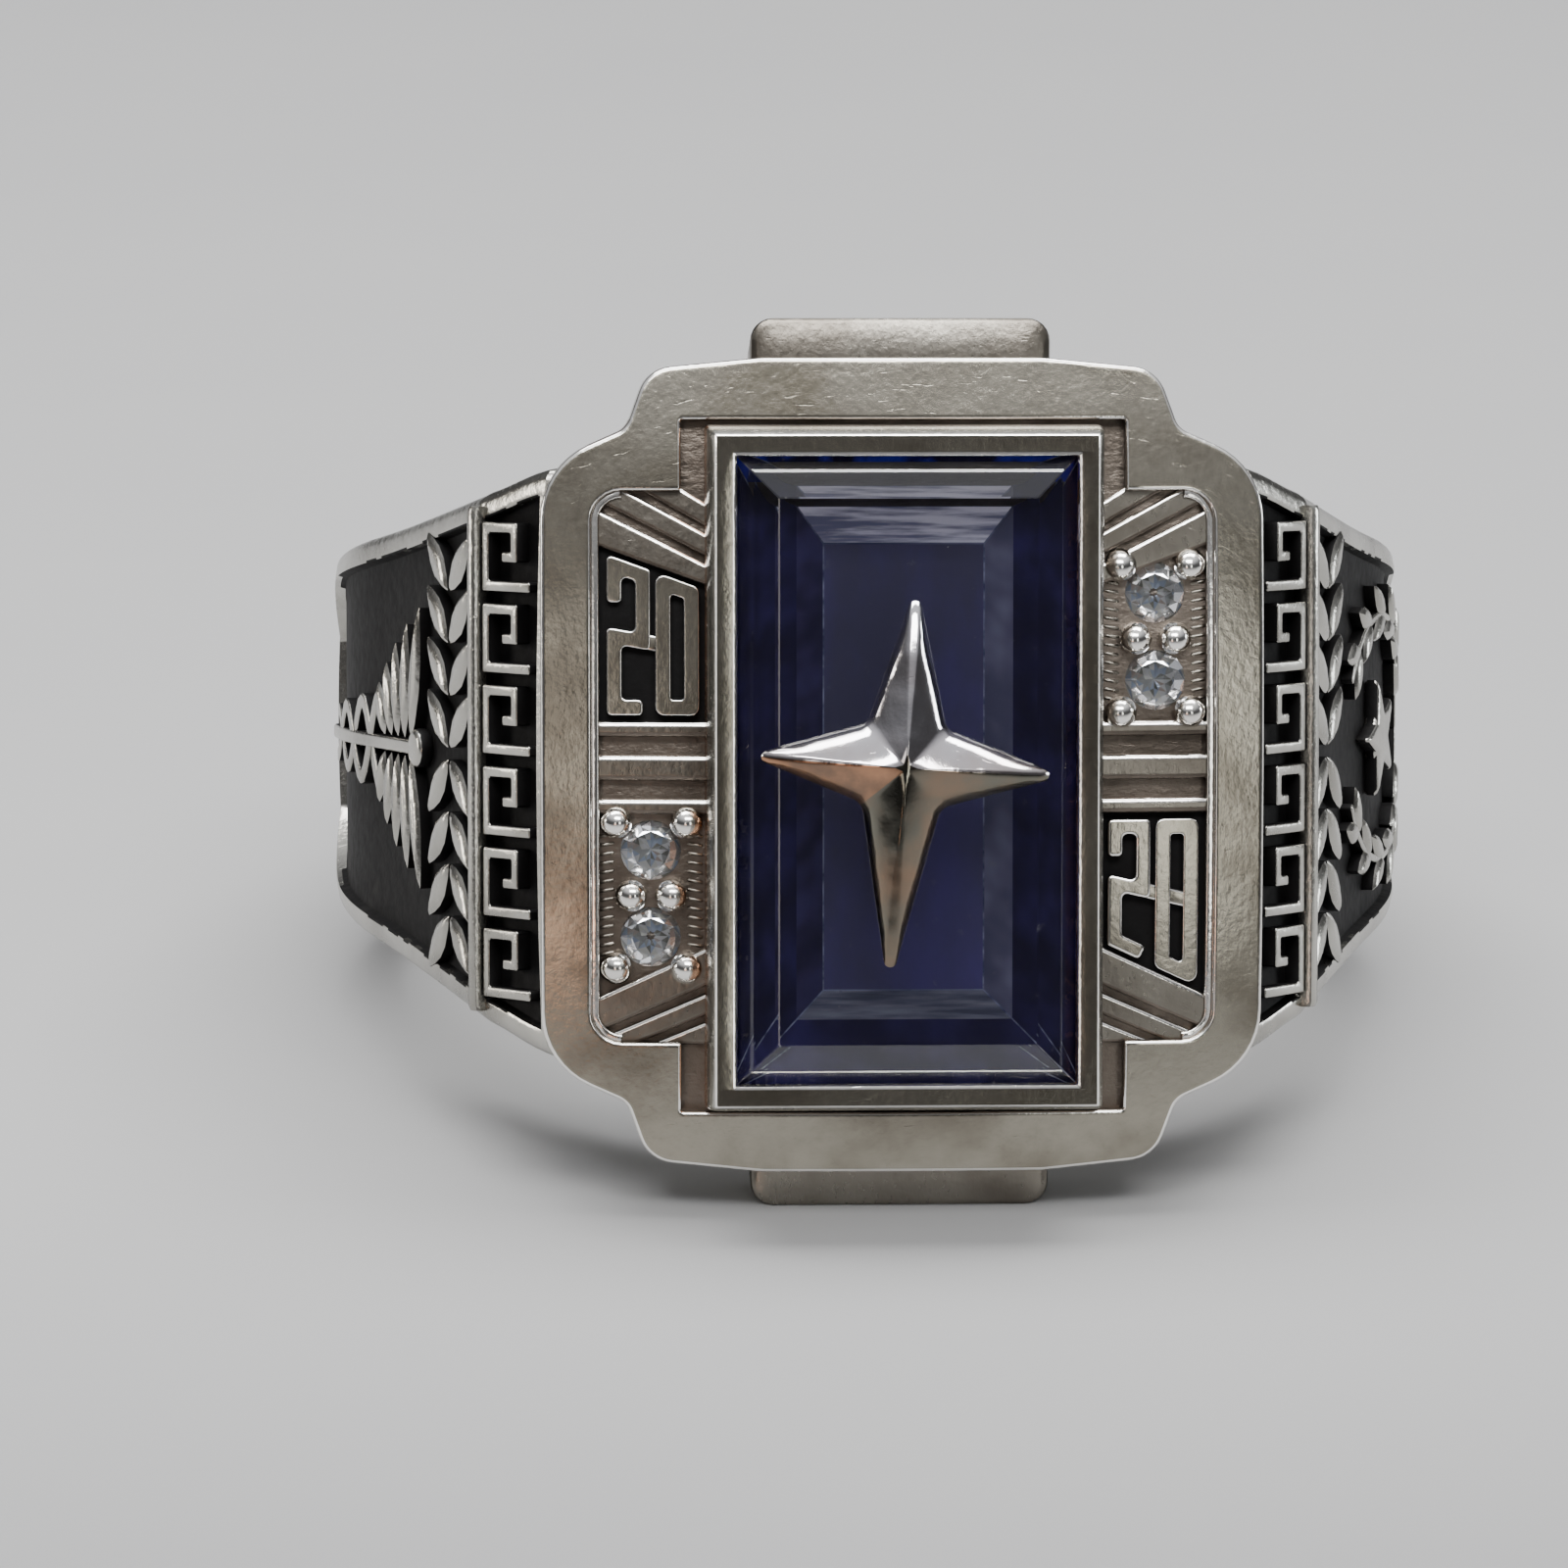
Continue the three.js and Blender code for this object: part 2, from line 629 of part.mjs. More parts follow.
function bezelSolid() {
  const foot = { x: bezelHalf.x + 0.14, y: bezelHalf.y + 0.08 };
  return loft([
    atHeight(rectangle(foot, 0.1), plateBottom),
    atHeight(rectangle(foot, 0.1), fieldHeight),
    atHeight(rectangle(bezelHalf, 0.1), bezelTop - 0.1),
    atHeight(rectangle({ x: bezelHalf.x - 0.08, y: bezelHalf.y - 0.08 }, 0.1), bezelTop),
  ]);
}

// Round stones

const accentRadius = ACCENT_DIAMETER / 2;
const accentX = (bezelHalf.x + panelHalf.x) / 2;
const accentMiddle = fieldStart + FIELD_LENGTH / 2 + RAY_SLOPE * (accentX - bezelHalf.x) * 0.5;
const accentQuarters = quarters.filter((quarter) => !quarter.digits);
const accentPlaces = accentQuarters.flatMap((quarter) =>
  [1, -1].map((step, i) => {
    const x = accentX * quarter.x;
    const y = (accentMiddle + (step * quarter.y * ACCENT_SPACING) / 2) * quarter.y;
    return { name: `accent_stone_${quarter.name}_${i + 1}`, x, y, z: domeAt(fieldHeight, x, y) + 0.1 };
  }),
);

// A round brilliant with a table of eight sides, 24 crown facets and 16 pavilion facets.
function brilliantSolid({ x, y, z }) {
  const ring = (count, radius, height) =>
    Array.from({ length: count }, (_, i) => {
      const turn = (i / count) * 2 * Math.PI;
      return new THREE.Vector3(x + radius * Math.cos(turn), y + radius * Math.sin(turn), z + height);
    });
  const crown = accentRadius * 0.33;
  const belt = accentRadius * 0.08;
  const depth = accentRadius * 0.86;
  const points = [
    ...ring(8, accentRadius * 0.56, crown),
    ...ring(16, accentRadius, 0),
    ...ring(16, accentRadius, -belt),
    new THREE.Vector3(x, y, z - belt - depth),
  ];
  const [girdle, lower, culet] = [8, 24, 40];
  const triangles = [];
  for (let i = 1; i < 7; i++) triangles.push(0, i, i + 1);
  for (let i = 0; i < 8; i++) {
    const [next, a, b, c] = [(i + 1) % 8, 2 * i, 2 * i + 1, (2 * i + 2) % 16];
    triangles.push(i, girdle + a, girdle + b, i, girdle + b, next, next, girdle + b, girdle + c);
  }
  for (let i = 0; i < 16; i++) {
    const next = (i + 1) % 16;
    triangles.push(girdle + i, lower + i, lower + next, girdle + i, lower + next, girdle + next);
    triangles.push(culet, lower + next, lower + i);
  }
  return solidFrom(points, triangles);
}

function accentSeat({ x, y, z }) {
  const radius = accentRadius + ACCENT_CLEARANCE;
  const profile = [
    new THREE.Vector2(0, -radius * 1.05),
    new THREE.Vector2(radius, -accentRadius * 0.1),
    new THREE.Vector2(radius, 1.2),
    new THREE.Vector2(0, 1.2),
  ];
  const geometry = new THREE.LatheGeometry(profile, 16).rotateX(Math.PI / 2);
  return solidOf(geometry.translate(x, y, z));
}

// Beads that hold the round stones: two at each end of a pair and two that both stones share.
function beadSolids(quarter) {
  const rows = [
    { offset: ACCENT_SPACING * 0.84, spread: 0.72 },
    { offset: 0, spread: 0.46 },
    { offset: -ACCENT_SPACING * 0.84, spread: 0.72 },
  ];
  return rows.flatMap(({ offset, spread }) =>
    [-1, 1].map((side) => {
      const x = (accentX + side * spread) * quarter.x;
      const y = (accentMiddle + offset) * quarter.y;
      const profile = [0, 35, 65, 88].map((a) => {
        const turn = a * DEGREE;
        return new THREE.Vector2(BEAD_RADIUS * Math.sin(turn), 0.18 + BEAD_RADIUS * Math.cos(turn));
      });
      profile[0].x = 0;
      profile.push(new THREE.Vector2(BEAD_RADIUS, -SKIN), new THREE.Vector2(0, -SKIN));
      const geometry = new THREE.LatheGeometry(profile.reverse(), 8).rotateX(Math.PI / 2);
      return solidOf(geometry.translate(x, y, domeAt(fieldHeight, x, y)));
    }),
  );
}

// Star

// A four-pointed star whose sides curve in between the points and rise to one peak.
function starSolid() {
  const arms = [STAR_ARMS.right, STAR_ARMS.up, STAR_ARMS.left, STAR_ARMS.down];
  const outline = arms.flatMap((arm, i) => {
    const next = arms[(i + 1) % 4];
    const turn = (i * 90 + STAR_TURN) * DEGREE;
    const along = new THREE.Vector2(Math.cos(turn), Math.sin(turn));
    const aside = new THREE.Vector2(-along.y, along.x);
    const tip = along.clone().multiplyScalar(arm);
    const waist = along.clone().add(aside).multiplyScalar(STAR_WAIST);
    const nextTip = aside.clone().multiplyScalar(next);
    const leaving = tip.clone().lerp(waist, 0.55).addScaledVector(aside, -0.09);
    const arriving = nextTip.clone().lerp(waist, 0.55).addScaledVector(along, -0.09);
    return [tip, leaving, waist, arriving];
  });
  for (const point of outline) point.add(STAR_PLACE);
  const low = tableHeight + STAR_GAP;
  const points = [
    ...atHeight(outline, low),
    ...atHeight(outline, low + STAR_EDGE),
    new THREE.Vector3(STAR_PLACE.x, STAR_PLACE.y, low),
    new THREE.Vector3(STAR_PLACE.x, STAR_PLACE.y, low + STAR_HEIGHT),
  ];
  const count = outline.length;
  const triangles = [];
  for (let i = 0; i < count; i++) {
    const next = (i + 1) % count;
    triangles.push(i, next, count + next, i, count + next, count + i);
    triangles.push(2 * count, next, i, 2 * count + 1, count + i, count + next);
  }
  return solidFrom(points, triangles);
}

// Shoulders

// The point at `along` past the knee, `y` along the finger and `lift` over the surface of one shoulder.
function shoulderPoint(side, along, y, lift) {
  const base = new THREE.Vector2();
  const out = new THREE.Vector2();
  if (along < 0) {
    base.copy(knee).addScaledVector(bevelAlong, along);
    out.set(-bevelAlong.y, bevelAlong.x);
  } else if (along < flankLength) {
    out.set(Math.sin(tangentAngle), Math.cos(tangentAngle));
    base.copy(knee).add(new THREE.Vector2(out.y, -out.x).multiplyScalar(along));
  } else {
    const turn = tangentAngle + (along - flankLength) / shankRadius;
    out.set(Math.sin(turn), Math.cos(turn));
    base.copy(out).multiplyScalar(shankRadius);
  }
  base.addScaledVector(out, lift);
  return new THREE.Vector3(side * base.x, y, base.y);
}

function shoulderHalfWidth(along) {
  const p = shoulderPoint(1, along, 0, 0);
  return halfWidthAt(Math.atan2(p.x, p.z));
}

// A sunk field of one shoulder between two places past the knee, with a rounded far end.
function shoulderField(side, start, end, taper) {
  const steps = Math.max(2, Math.ceil((end - start) / 1.3));
  const rings = Array.from({ length: steps + 1 }, (_, i) => {
    const along = start + ((end - start) * i) / steps;
    const past = taper ? Math.max(0, (along - end + taper) / taper) : 0;
    const half = (shoulderHalfWidth(along) - SHOULDER_RIM) * Math.sqrt(Math.max(0.01, 1 - past ** 2));
    const corners = [
      [-half, -SHOULDER_FIELD_DEPTH],
      [half, -SHOULDER_FIELD_DEPTH],
      [half, 2 * SKIN],
      [-half, 2 * SKIN],
    ];
    return corners.map(([y, lift]) => shoulderPoint(side, along, y, lift));
  });
  const cap = [[-1, 0], [1, 0], [1, 1], [-1, 1]].map(([a, b]) => new THREE.Vector2(a, b));
  return loft(rings, false, cap);
}

// A raised ornament on one shoulder from its outline in (along, y), narrower at its top.
function reliefSolid(side, outline, height, narrow = 0.06) {
  const lower = outline.map((p) => shoulderPoint(side, p.x, p.y, -SHOULDER_FIELD_DEPTH - SKIN / 2));
  const upper = insetOutline(outline, THREE.ShapeUtils.isClockWise(outline) ? -narrow : narrow).map((p) =>
    shoulderPoint(side, p.x, p.y, height - SHOULDER_FIELD_DEPTH),
  );
  return loft([lower, upper], false, outline);
}

// The outline of a leaf or feather from its root, with its length, width and direction in degrees.
function leafOutline(along, y, length, width, direction) {
  const turn = direction * DEGREE;
  const ahead = new THREE.Vector2(Math.cos(turn), Math.sin(turn));
  const aside = new THREE.Vector2(-ahead.y, ahead.x);
  return [[0, 0], [0.45, 0.5], [1, 0], [0.45, -0.5]].map(([l, w]) =>
    new THREE.Vector2(along, y).addScaledVector(ahead, l * length).addScaledVector(aside, w * width),
  );
}

function strokeOutline(points, width) {
  const side = (sign) =>
    points.map((point, i) => {
      const a = points[Math.max(0, i - 1)];
      const b = points[Math.min(points.length - 1, i + 1)];
      const ahead = b.clone().sub(a).normalize();
      return point.clone().addScaledVector(new THREE.Vector2(-ahead.y, ahead.x), (sign * width) / 2);
    });
  return [...side(-1), ...side(1).reverse()];
}

// The row of squared hooks on the bevel: a Greek key.
function keyBand(side) {
  const low = -SHOULDER_BEVEL_LENGTH + BAND_MARGIN + 0.16;
  const high = -RIB_WIDTH / 2 - 0.16;
  const reach = shoulderHalfWidth((low + high) / 2) - SHOULDER_RIM - 0.2;
  const count = 6;
  const pitch = (2 * reach) / count;
  const hook = [[0, 0.02], [0, 0.98], [0.72, 0.98], [0.72, 0.36], [0.36, 0.36], [0.36, 0.62]];
  return Array.from({ length: count }, (_, i) => {
    const start = -reach + i * pitch;
    const path = hook.map(([u, t]) => new THREE.Vector2(low + (high - low) * t, start + pitch * (u + 0.14)));
    return strokeSolidOn(side, path, 0.2);
  });
}

// A stroke with square corners laid on a shoulder, as joined straight bars.
function strokeSolidOn(side, path, width) {
  const bars = path.slice(1).map((point, i) => {
    const from = path[i];
    const ahead = point.clone().sub(from).normalize();
    const start = from.clone().addScaledVector(ahead, -width / 2);
    const end = point.clone().addScaledVector(ahead, width / 2);
    return reliefSolid(side, strokeOutline([start, end], width), RELIEF_HEIGHT, 0);
  });
  return join(bars);
}

// Leaves in pairs that point away from the middle.
const leafBandMiddle = (RIB_WIDTH + LEAF_BAND_WIDTH) / 2 + 2 * BAND_MARGIN;
const emblemStart = leafBandMiddle + LEAF_BAND_WIDTH / 2 + 2 * BAND_MARGIN;

function leafBand(side) {
  const reach = shoulderHalfWidth(leafBandMiddle) - SHOULDER_RIM - 0.25;
  const pairs = 4;
  const pitch = reach / pairs;
  const lean = 46;
  const length = LEAF_BAND_WIDTH / 2 / Math.sin(lean * DEGREE);
  return [-1, 1].flatMap((end) =>
    Array.from({ length: pairs }, (_, i) => end * (0.12 + i * pitch)).flatMap((start) =>
      [-1, 1].map((half) =>
        reliefSolid(
          side,
          leafOutline(leafBandMiddle + half * 0.06, start, length, 0.62, end * (90 - half * lean)),
          RELIEF_HEIGHT,
        ),
      ),
    ),
  );
}

// A staff with a knob, two wings and two crossing serpents.
function wingedStaff(side) {
  const foot = emblemStart + EMBLEM_LENGTH;
  const unit = EMBLEM_LENGTH / 7;
  const line = (points, width, height) => reliefSolid(side, strokeOutline(points, width), height, 0.04);
  const staff = Array.from({ length: 7 }, (_, i) => new THREE.Vector2(emblemStart + unit * (0.4 + 1.1 * i), 0));
  const knob = Array.from({ length: 8 }, (_, i) => {
    const turn = (i / 8) * 2 * Math.PI;
    const spoke = new THREE.Vector2(Math.cos(turn), Math.sin(turn)).multiplyScalar(0.42 * unit);
    return spoke.add(new THREE.Vector2(emblemStart + 0.42 * unit, 0));
  });
  const solids = [line(staff, 0.3, RELIEF_HEIGHT * 0.88), reliefSolid(side, knob, RELIEF_HEIGHT)];
  for (const wing of [-1, 1]) {
    for (let i = 0; i < 5; i++) {
      const root = emblemStart + unit * (0.75 + i * 0.42);
      const outline = leafOutline(root, wing * 0.16, (2.9 - i * 0.42) * unit, 0.52, wing * (100 - i * 7));
      solids.push(reliefSolid(side, outline, RELIEF_HEIGHT));
    }
    const coils = 11;
    const serpent = Array.from({ length: coils }, (_, i) => {
      const share = i / (coils - 1);
      const swing = wing * unit * (1 - 0.5 * share) * Math.cos(share * 3 * Math.PI);
      return new THREE.Vector2(foot - unit * (3.6 * (1 - share) + 0.6), swing);
    });
    solids.push(line(serpent, 0.3, RELIEF_HEIGHT * (wing < 0 ? 0.72 : 0.8)));
  }
  return solids;
}

// Two laurel branches round a five-pointed star.
function laurelStar(side) {
  const centre = emblemStart + EMBLEM_LENGTH / 2;
  const radius = { along: EMBLEM_LENGTH * 0.45, across: EMBLEM_LENGTH * 0.38 };
  const onBranch = (turn) =>
    new THREE.Vector2(centre + radius.along * Math.cos(turn), radius.across * Math.sin(turn));
  const starOutline = Array.from({ length: 10 }, (_, i) => {
    const reach = EMBLEM_LENGTH * (i % 2 ? 0.08 : 0.2);
    const turn = Math.PI + (i / 10) * 2 * Math.PI;
    return new THREE.Vector2(centre + reach * Math.cos(turn), reach * Math.sin(turn));
  });
  const solids = [reliefSolid(side, starOutline, RELIEF_HEIGHT)];
  for (const branch of [-1, 1]) {
    const stem = Array.from({ length: 8 }, (_, i) => onBranch(branch * (i / 7) * 150 * DEGREE));
    solids.push(reliefSolid(side, strokeOutline(stem, 0.18), RELIEF_HEIGHT * 0.8, 0));
    for (let i = 0; i < 6; i++) {
      const degrees = 16 + i * 23;
      const root = onBranch(branch * degrees * DEGREE);
      for (const lean of [-32, 32]) {
        const outline = leafOutline(root.x, root.y, 1.1, 0.46, branch * (degrees + 90 + lean));
        solids.push(reliefSolid(side, outline, RELIEF_HEIGHT));
      }
    }
  }
  return solids;
}

function shoulderRib(side) {
  const half = shoulderHalfWidth(0) - SHOULDER_RIM / 2;
  const rings = [
    [-RIB_WIDTH / 2, -SKIN],
    [-RIB_WIDTH / 2, 0],
    [-RIB_WIDTH / 6, RIB_HEIGHT],
    [RIB_WIDTH / 6, RIB_HEIGHT],
    [RIB_WIDTH / 2, 0],
    [RIB_WIDTH / 2, -SKIN],
  ];
  const at = (y) => rings.map(([along, lift]) => shoulderPoint(side, along, y, lift));
  return loft([at(-half), at(half)], false, rings.map(([a, b]) => new THREE.Vector2(a, b)));
}

function shoulderCuts(side) {
  return shoulderField(side, -SHOULDER_BEVEL_LENGTH + BAND_MARGIN, -RIB_WIDTH / 2, 0).add(
    shoulderField(side, RIB_WIDTH / 2, SHOULDER_FIELD_LENGTH, SHOULDER_FIELD_TAPER),
  );
}

const shoulderRelief = (side) => [
  shoulderRib(side),
  ...keyBand(side),
  ...leafBand(side),
  ...(side < 0 ? wingedStaff(side) : laurelStar(side)),
];

// Assembly

function ringBody() {
  const recess = aboveDome(recessOutline, reliefHeight);
  const digits = join(quarters.filter((q) => q.digits).flatMap(numeralSolids));
  const shoulders = [-1, 1];
  let body = shankSolid();
  for (const side of shoulders) body = body.subtract(shoulderCuts(side));
  body = join([body, ...shoulders.flatMap(shoulderRelief)]);
  body = join([body, gallerySolid(), tabSolid(1), tabSolid(-1)]);
  body = body.add(plateSolid().subtract(recess).subtract(panelCuts()));
  body = body.add(digits.intersect(underDome(reliefHeight)));
  body = join([body, bezelSolid()]).subtract(stoneSeat());
  for (const place of accentPlaces) body = body.subtract(accentSeat(place));
  body = join([body, ...accentQuarters.flatMap(beadSolids)]);
  return body.subtract(boreSolid());
}

const metal = new THREE.MeshStandardMaterial({ color: 0xc9c7c0, roughness: 0.22, metalness: 1 });
const polished = new THREE.MeshStandardMaterial({ color: 0xdedcd8, roughness: 0.1, metalness: 1 });
const blueStone = new THREE.MeshStandardMaterial({ color: 0x14143c, roughness: 0.05, metalness: 0 });
const clearStone = new THREE.MeshStandardMaterial({ color: 0xe8edf2, roughness: 0.03, metalness: 0 });

const ring = new THREE.Group();
ring.add(meshOf("ring_body", ringBody(), metal));
ring.add(meshOf("center_stone", stoneSolid(), blueStone));
ring.add(meshOf("star_emblem", starSolid(), polished));
for (const place of accentPlaces) ring.add(meshOf(place.name, brilliantSolid(place), clearStone));

// The head faces -Y and up by the rest angle. The ring's middle plane is at X = 0, its box's middle at Y = 0 and
// its lowest point at Z = 0.
ring.rotation.x = Math.PI / 2 - restAngle;
ring.updateMatrixWorld(true);
const box = new THREE.Box3().setFromObject(ring, true);
ring.position.set(0, -(box.min.y + box.max.y) / 2, -box.min.z);

export default ring;
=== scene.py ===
"""A class ring in antiqued silver with a step-cut blue stone and a polished star, on its side on a table.

The pieces are modelled in millimetres in the head's own frame: X across the head, Y along the finger and Z
out of the finger through the head, with the origin in the middle of the finger hole. HEAD_TO_ROW then lays
each one on its side in metres, where the frame's solids are.
"""

import math

import bpy
from mathutils import Matrix, Vector


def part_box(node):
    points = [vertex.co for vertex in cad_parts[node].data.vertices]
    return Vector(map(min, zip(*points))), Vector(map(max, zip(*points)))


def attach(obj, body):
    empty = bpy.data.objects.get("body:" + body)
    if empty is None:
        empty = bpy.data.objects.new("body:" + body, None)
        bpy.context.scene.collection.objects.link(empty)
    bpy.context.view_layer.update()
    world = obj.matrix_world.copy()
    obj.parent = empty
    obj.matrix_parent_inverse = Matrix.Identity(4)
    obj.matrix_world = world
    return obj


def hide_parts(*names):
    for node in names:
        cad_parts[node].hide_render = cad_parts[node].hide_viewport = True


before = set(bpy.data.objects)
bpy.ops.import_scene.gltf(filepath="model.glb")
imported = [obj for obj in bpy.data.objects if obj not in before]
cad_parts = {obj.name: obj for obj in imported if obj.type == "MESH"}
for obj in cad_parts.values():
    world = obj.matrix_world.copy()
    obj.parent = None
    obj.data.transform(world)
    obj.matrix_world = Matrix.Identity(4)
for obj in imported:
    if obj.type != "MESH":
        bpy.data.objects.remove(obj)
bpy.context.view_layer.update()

MM = 0.001

# Sizes of the band, in millimetres
FINGER_RADIUS = 9.9
BAND_THICKNESS = 1.7
BAND_BACK_WIDTH = 5.8
BAND_HEAD_WIDTH = 11.9
BAND_CROWN = 0.14
BAND_EDGE = 0.32
COMFORT_EDGE = 0.3

# Sizes of the head
STONE_WIDTH = 6.9
STONE_LENGTH = 12.6
BEZEL_LIP = 0.1
BEZEL_WALL = 0.5
BEZEL_RISE = 0.8
GIRDLE_DROP = 0.36
CROWN_HEIGHT = 0.62
HEAD_RISE = 3.9
PLATE_THICKNESS = 1.7
DOME_RADIUS = 45.0
PANEL_WIDTH = 2.35
PANEL_LENGTH = 11.0
PANEL_CORNER = 0.6
RIM_SIDE = 1.0
RIM_END = 1.27
SLOT_SIDE_GAP = 0.57
SLOT_END_GAP = 0.2
RECESS_DEPTH = 0.17
FIELD_DEPTH = 0.3
TAB_WIDTH = 6.0
TAB_REACH = 0.75
TAB_DEPTH = 1.3
TAB_CORNER = 0.45

# Sizes of the shoulders
BEVEL_LENGTH = 2.15
BEVEL_ANGLE = math.radians(52)
SHOULDER_RIM = 0.55
SHOULDER_DEPTH = 0.34
SHOULDER_END = 12.6
BAND_MARGIN = 0.17
RIB_WIDTH = 0.36
RIB_HEIGHT = 0.12
LEAF_BAND_WIDTH = 2.4
EMBLEM_LENGTH = 6.8

# Heights and half sizes that follow
BAND_RADIUS = FINGER_RADIUS + BAND_THICKNESS
FACE = FINGER_RADIUS + HEAD_RISE
PLATE_BOTTOM = FACE - PLATE_THICKNESS
RELIEF = FACE - RECESS_DEPTH
FIELD = RELIEF - FIELD_DEPTH
BEZEL_TOP = FACE + BEZEL_RISE
GIRDLE = BEZEL_TOP - GIRDLE_DROP
TABLE = GIRDLE + CROWN_HEIGHT
STONE_X, STONE_Y = STONE_WIDTH / 2, STONE_LENGTH / 2
BEZEL_X, BEZEL_Y = (half - BEZEL_LIP + BEZEL_WALL for half in (STONE_X, STONE_Y))
SLOT_X, SLOT_Y = BEZEL_X + SLOT_SIDE_GAP, BEZEL_Y + SLOT_END_GAP
PANEL_X, PANEL_Y = BEZEL_X + PANEL_WIDTH, PANEL_LENGTH / 2
FRAME_X, FRAME_Y = PANEL_X + RIM_SIDE, SLOT_Y + RIM_END
TAB_END = FRAME_Y + TAB_REACH

# The ring rests on the end of its lower tab and on the back of the band. The tabs' ends are flat there.
DRAFT = (TAB_END - BAND_BACK_WIDTH / 2) / (PLATE_BOTTOM + BAND_RADIUS - BAND_CROWN - BAND_EDGE)
REST = math.atan(DRAFT)
BEZEL_EDGE = 0.08
LAY_DOWN = Matrix.Rotation(math.pi / 2 - REST, 4, "X")
FOREMOST = LAY_DOWN @ Vector((0, BEZEL_EDGE - BEZEL_Y, BEZEL_TOP))
LOWEST = LAY_DOWN @ Vector((0, -TAB_END, PLATE_BOTTOM))
HOLE_MIDDLE = Vector((0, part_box("ring_body")[0][1] / MM - FOREMOST.y, -LOWEST.z))
HEAD_TO_ROW = Matrix.Scale(MM, 4) @ Matrix.Translation(HOLE_MIDDLE) @ LAY_DOWN

# The photograph's view, measured from the middle of the finger hole
CAMERA_DISTANCE = 150.0
CAMERA_AZIMUTH = math.radians(2.7)
CAMERA_ELEVATION = math.radians(4.0)
CAMERA_ASIDE = Vector((1.752, 1.26))
CAMERA_LENS = 157.95


# Modelling


def only(*pieces):
    """Selects these pieces and nothing else."""
    bpy.ops.object.select_all(action="DESELECT")
    for piece in pieces:
        piece.select_set(True)
    bpy.context.view_layer.objects.active = pieces[0]


class editing:
    """Edit mode on one piece, with all of it selected."""

    def __init__(self, piece):
        self.piece = piece

    def __enter__(self):
        only(self.piece)
        bpy.ops.object.mode_set(mode="EDIT")
        bpy.ops.mesh.select_all(action="SELECT")

    def __exit__(self, *error):
        bpy.ops.object.mode_set(mode="OBJECT")


def started(add, **settings):
    """A new piece that starts from a primitive, selected alone."""
    bpy.ops.object.select_all(action="DESELECT")
    add(**settings)
    return bpy.context.object


def modify(piece, kind, **settings):
    """Adds a modifier and applies it."""
    modifier = piece.modifiers.new(kind.lower(), kind)
    for setting, value in settings.items():
        setattr(modifier, setting, value)
    only(piece)
    bpy.ops.object.modifier_apply(modifier=modifier.name)
    return piece


def soften(piece, width, segments=2, angle=35):
    """Rounds the piece's sharp edges."""
    return modify(
        piece,
        "BEVEL",
        width=width,
        segments=segments,
        limit_method="ANGLE",
        angle_limit=math.radians(angle),
    )


def inset_top(piece, *steps):
    """Insets the faces on top of the piece, once for each (width, rise)."""
    with editing(piece):
        bpy.ops.mesh.select_all(action="DESELECT")
    for face in piece.data.polygons:
        face.select = face.normal.z > 0.99
    bpy.ops.object.mode_set(mode="EDIT")
    for width, rise in steps:
        bpy.ops.mesh.inset(thickness=width, depth=rise)
    bpy.ops.object.mode_set(mode="OBJECT")
    return piece


def flat_top(piece, width=0.03):
    """Adds a narrow loop inside the rim of the top, which keeps the shading flat up to the rounded edge."""
    return inset_top(piece, (width, 0))


def cut(piece, cutter):
    """Takes the cutter's shape out of the piece."""
    modify(piece, "BOOLEAN", operation="DIFFERENCE", solver="EXACT", object=cutter)
    bpy.data.objects.remove(cutter)
    return piece


def slab(name, outline, low, high):
    """A flat slab with the given outline: a disc's rim is moved to the outline and pulled up."""
    piece = started(bpy.ops.mesh.primitive_circle_add, vertices=len(outline), fill_type="NGON")
    piece.name = name
    for vertex, (x, y) in zip(piece.data.vertices, outline):
        vertex.co = (x, y, low)
    with editing(piece):
        bpy.ops.mesh.extrude_region_move(TRANSFORM_OT_translate={"value": (0, 0, high - low)})
        bpy.ops.mesh.select_all(action="SELECT")
        bpy.ops.mesh.normals_make_consistent(inside=False)
    return piece


def rolled(name, sections, closed=False):
    """A grid rolled into a skin through sections of matching points, closed on itself or at its ends."""
    across, rows = len(sections[0]), len(sections)
    steps = rows if closed else rows - 1
    piece = started(bpy.ops.mesh.primitive_grid_add, x_subdivisions=across, y_subdivisions=steps)
    piece.name = name
    for index, vertex in enumerate(piece.data.vertices):
        row, column = divmod(index, across + 1)
        vertex.co = sections[row % rows][column % across]
    with editing(piece):
        bpy.ops.mesh.remove_doubles(threshold=1e-4)
        bpy.ops.mesh.fill_holes(sides=0)
        bpy.ops.mesh.select_all(action="SELECT")
        bpy.ops.mesh.normals_make_consistent(inside=False)
    return piece


def sliced(piece, axis, places):
    """Cuts the piece's faces along planes, so that it can bend there."""
    with editing(piece):
        for place in places:
            bpy.ops.mesh.select_all(action="SELECT")
            normal = Vector([axis == 0, axis == 1, axis == 2])
            bpy.ops.mesh.bisect(plane_co=normal * place, plane_no=normal)
    return piece


def bent(piece, bend):
    """Moves each corner of the piece to where bend says."""
    for vertex in piece.data.vertices:
        vertex.co = bend(*vertex.co)
    return piece


def joined(name, pieces):
    """Joins pieces into one."""
    only(*pieces)
    if len(pieces) > 1:
        bpy.ops.object.join()
    pieces[0].name = name
    return pieces[0]


def copied(piece, turn, move):
    """A copy with a mesh of its own, turned about Z and moved."""
    twin = piece.copy()
    twin.data = piece.data.copy()
    bpy.context.scene.collection.objects.link(twin)
    twin.data.transform(Matrix.Translation(move) @ Matrix.Rotation(turn, 4, "Z"))
    return twin


def paint(piece, finish, where):
    """Gives a second finish to the faces for which where(centre, normal) holds."""
    piece.data.materials.append(finish)
    index = len(piece.data.materials) - 1
    for face in piece.data.polygons:
        if where(face.center, face.normal):
            face.material_index = index
    return piece


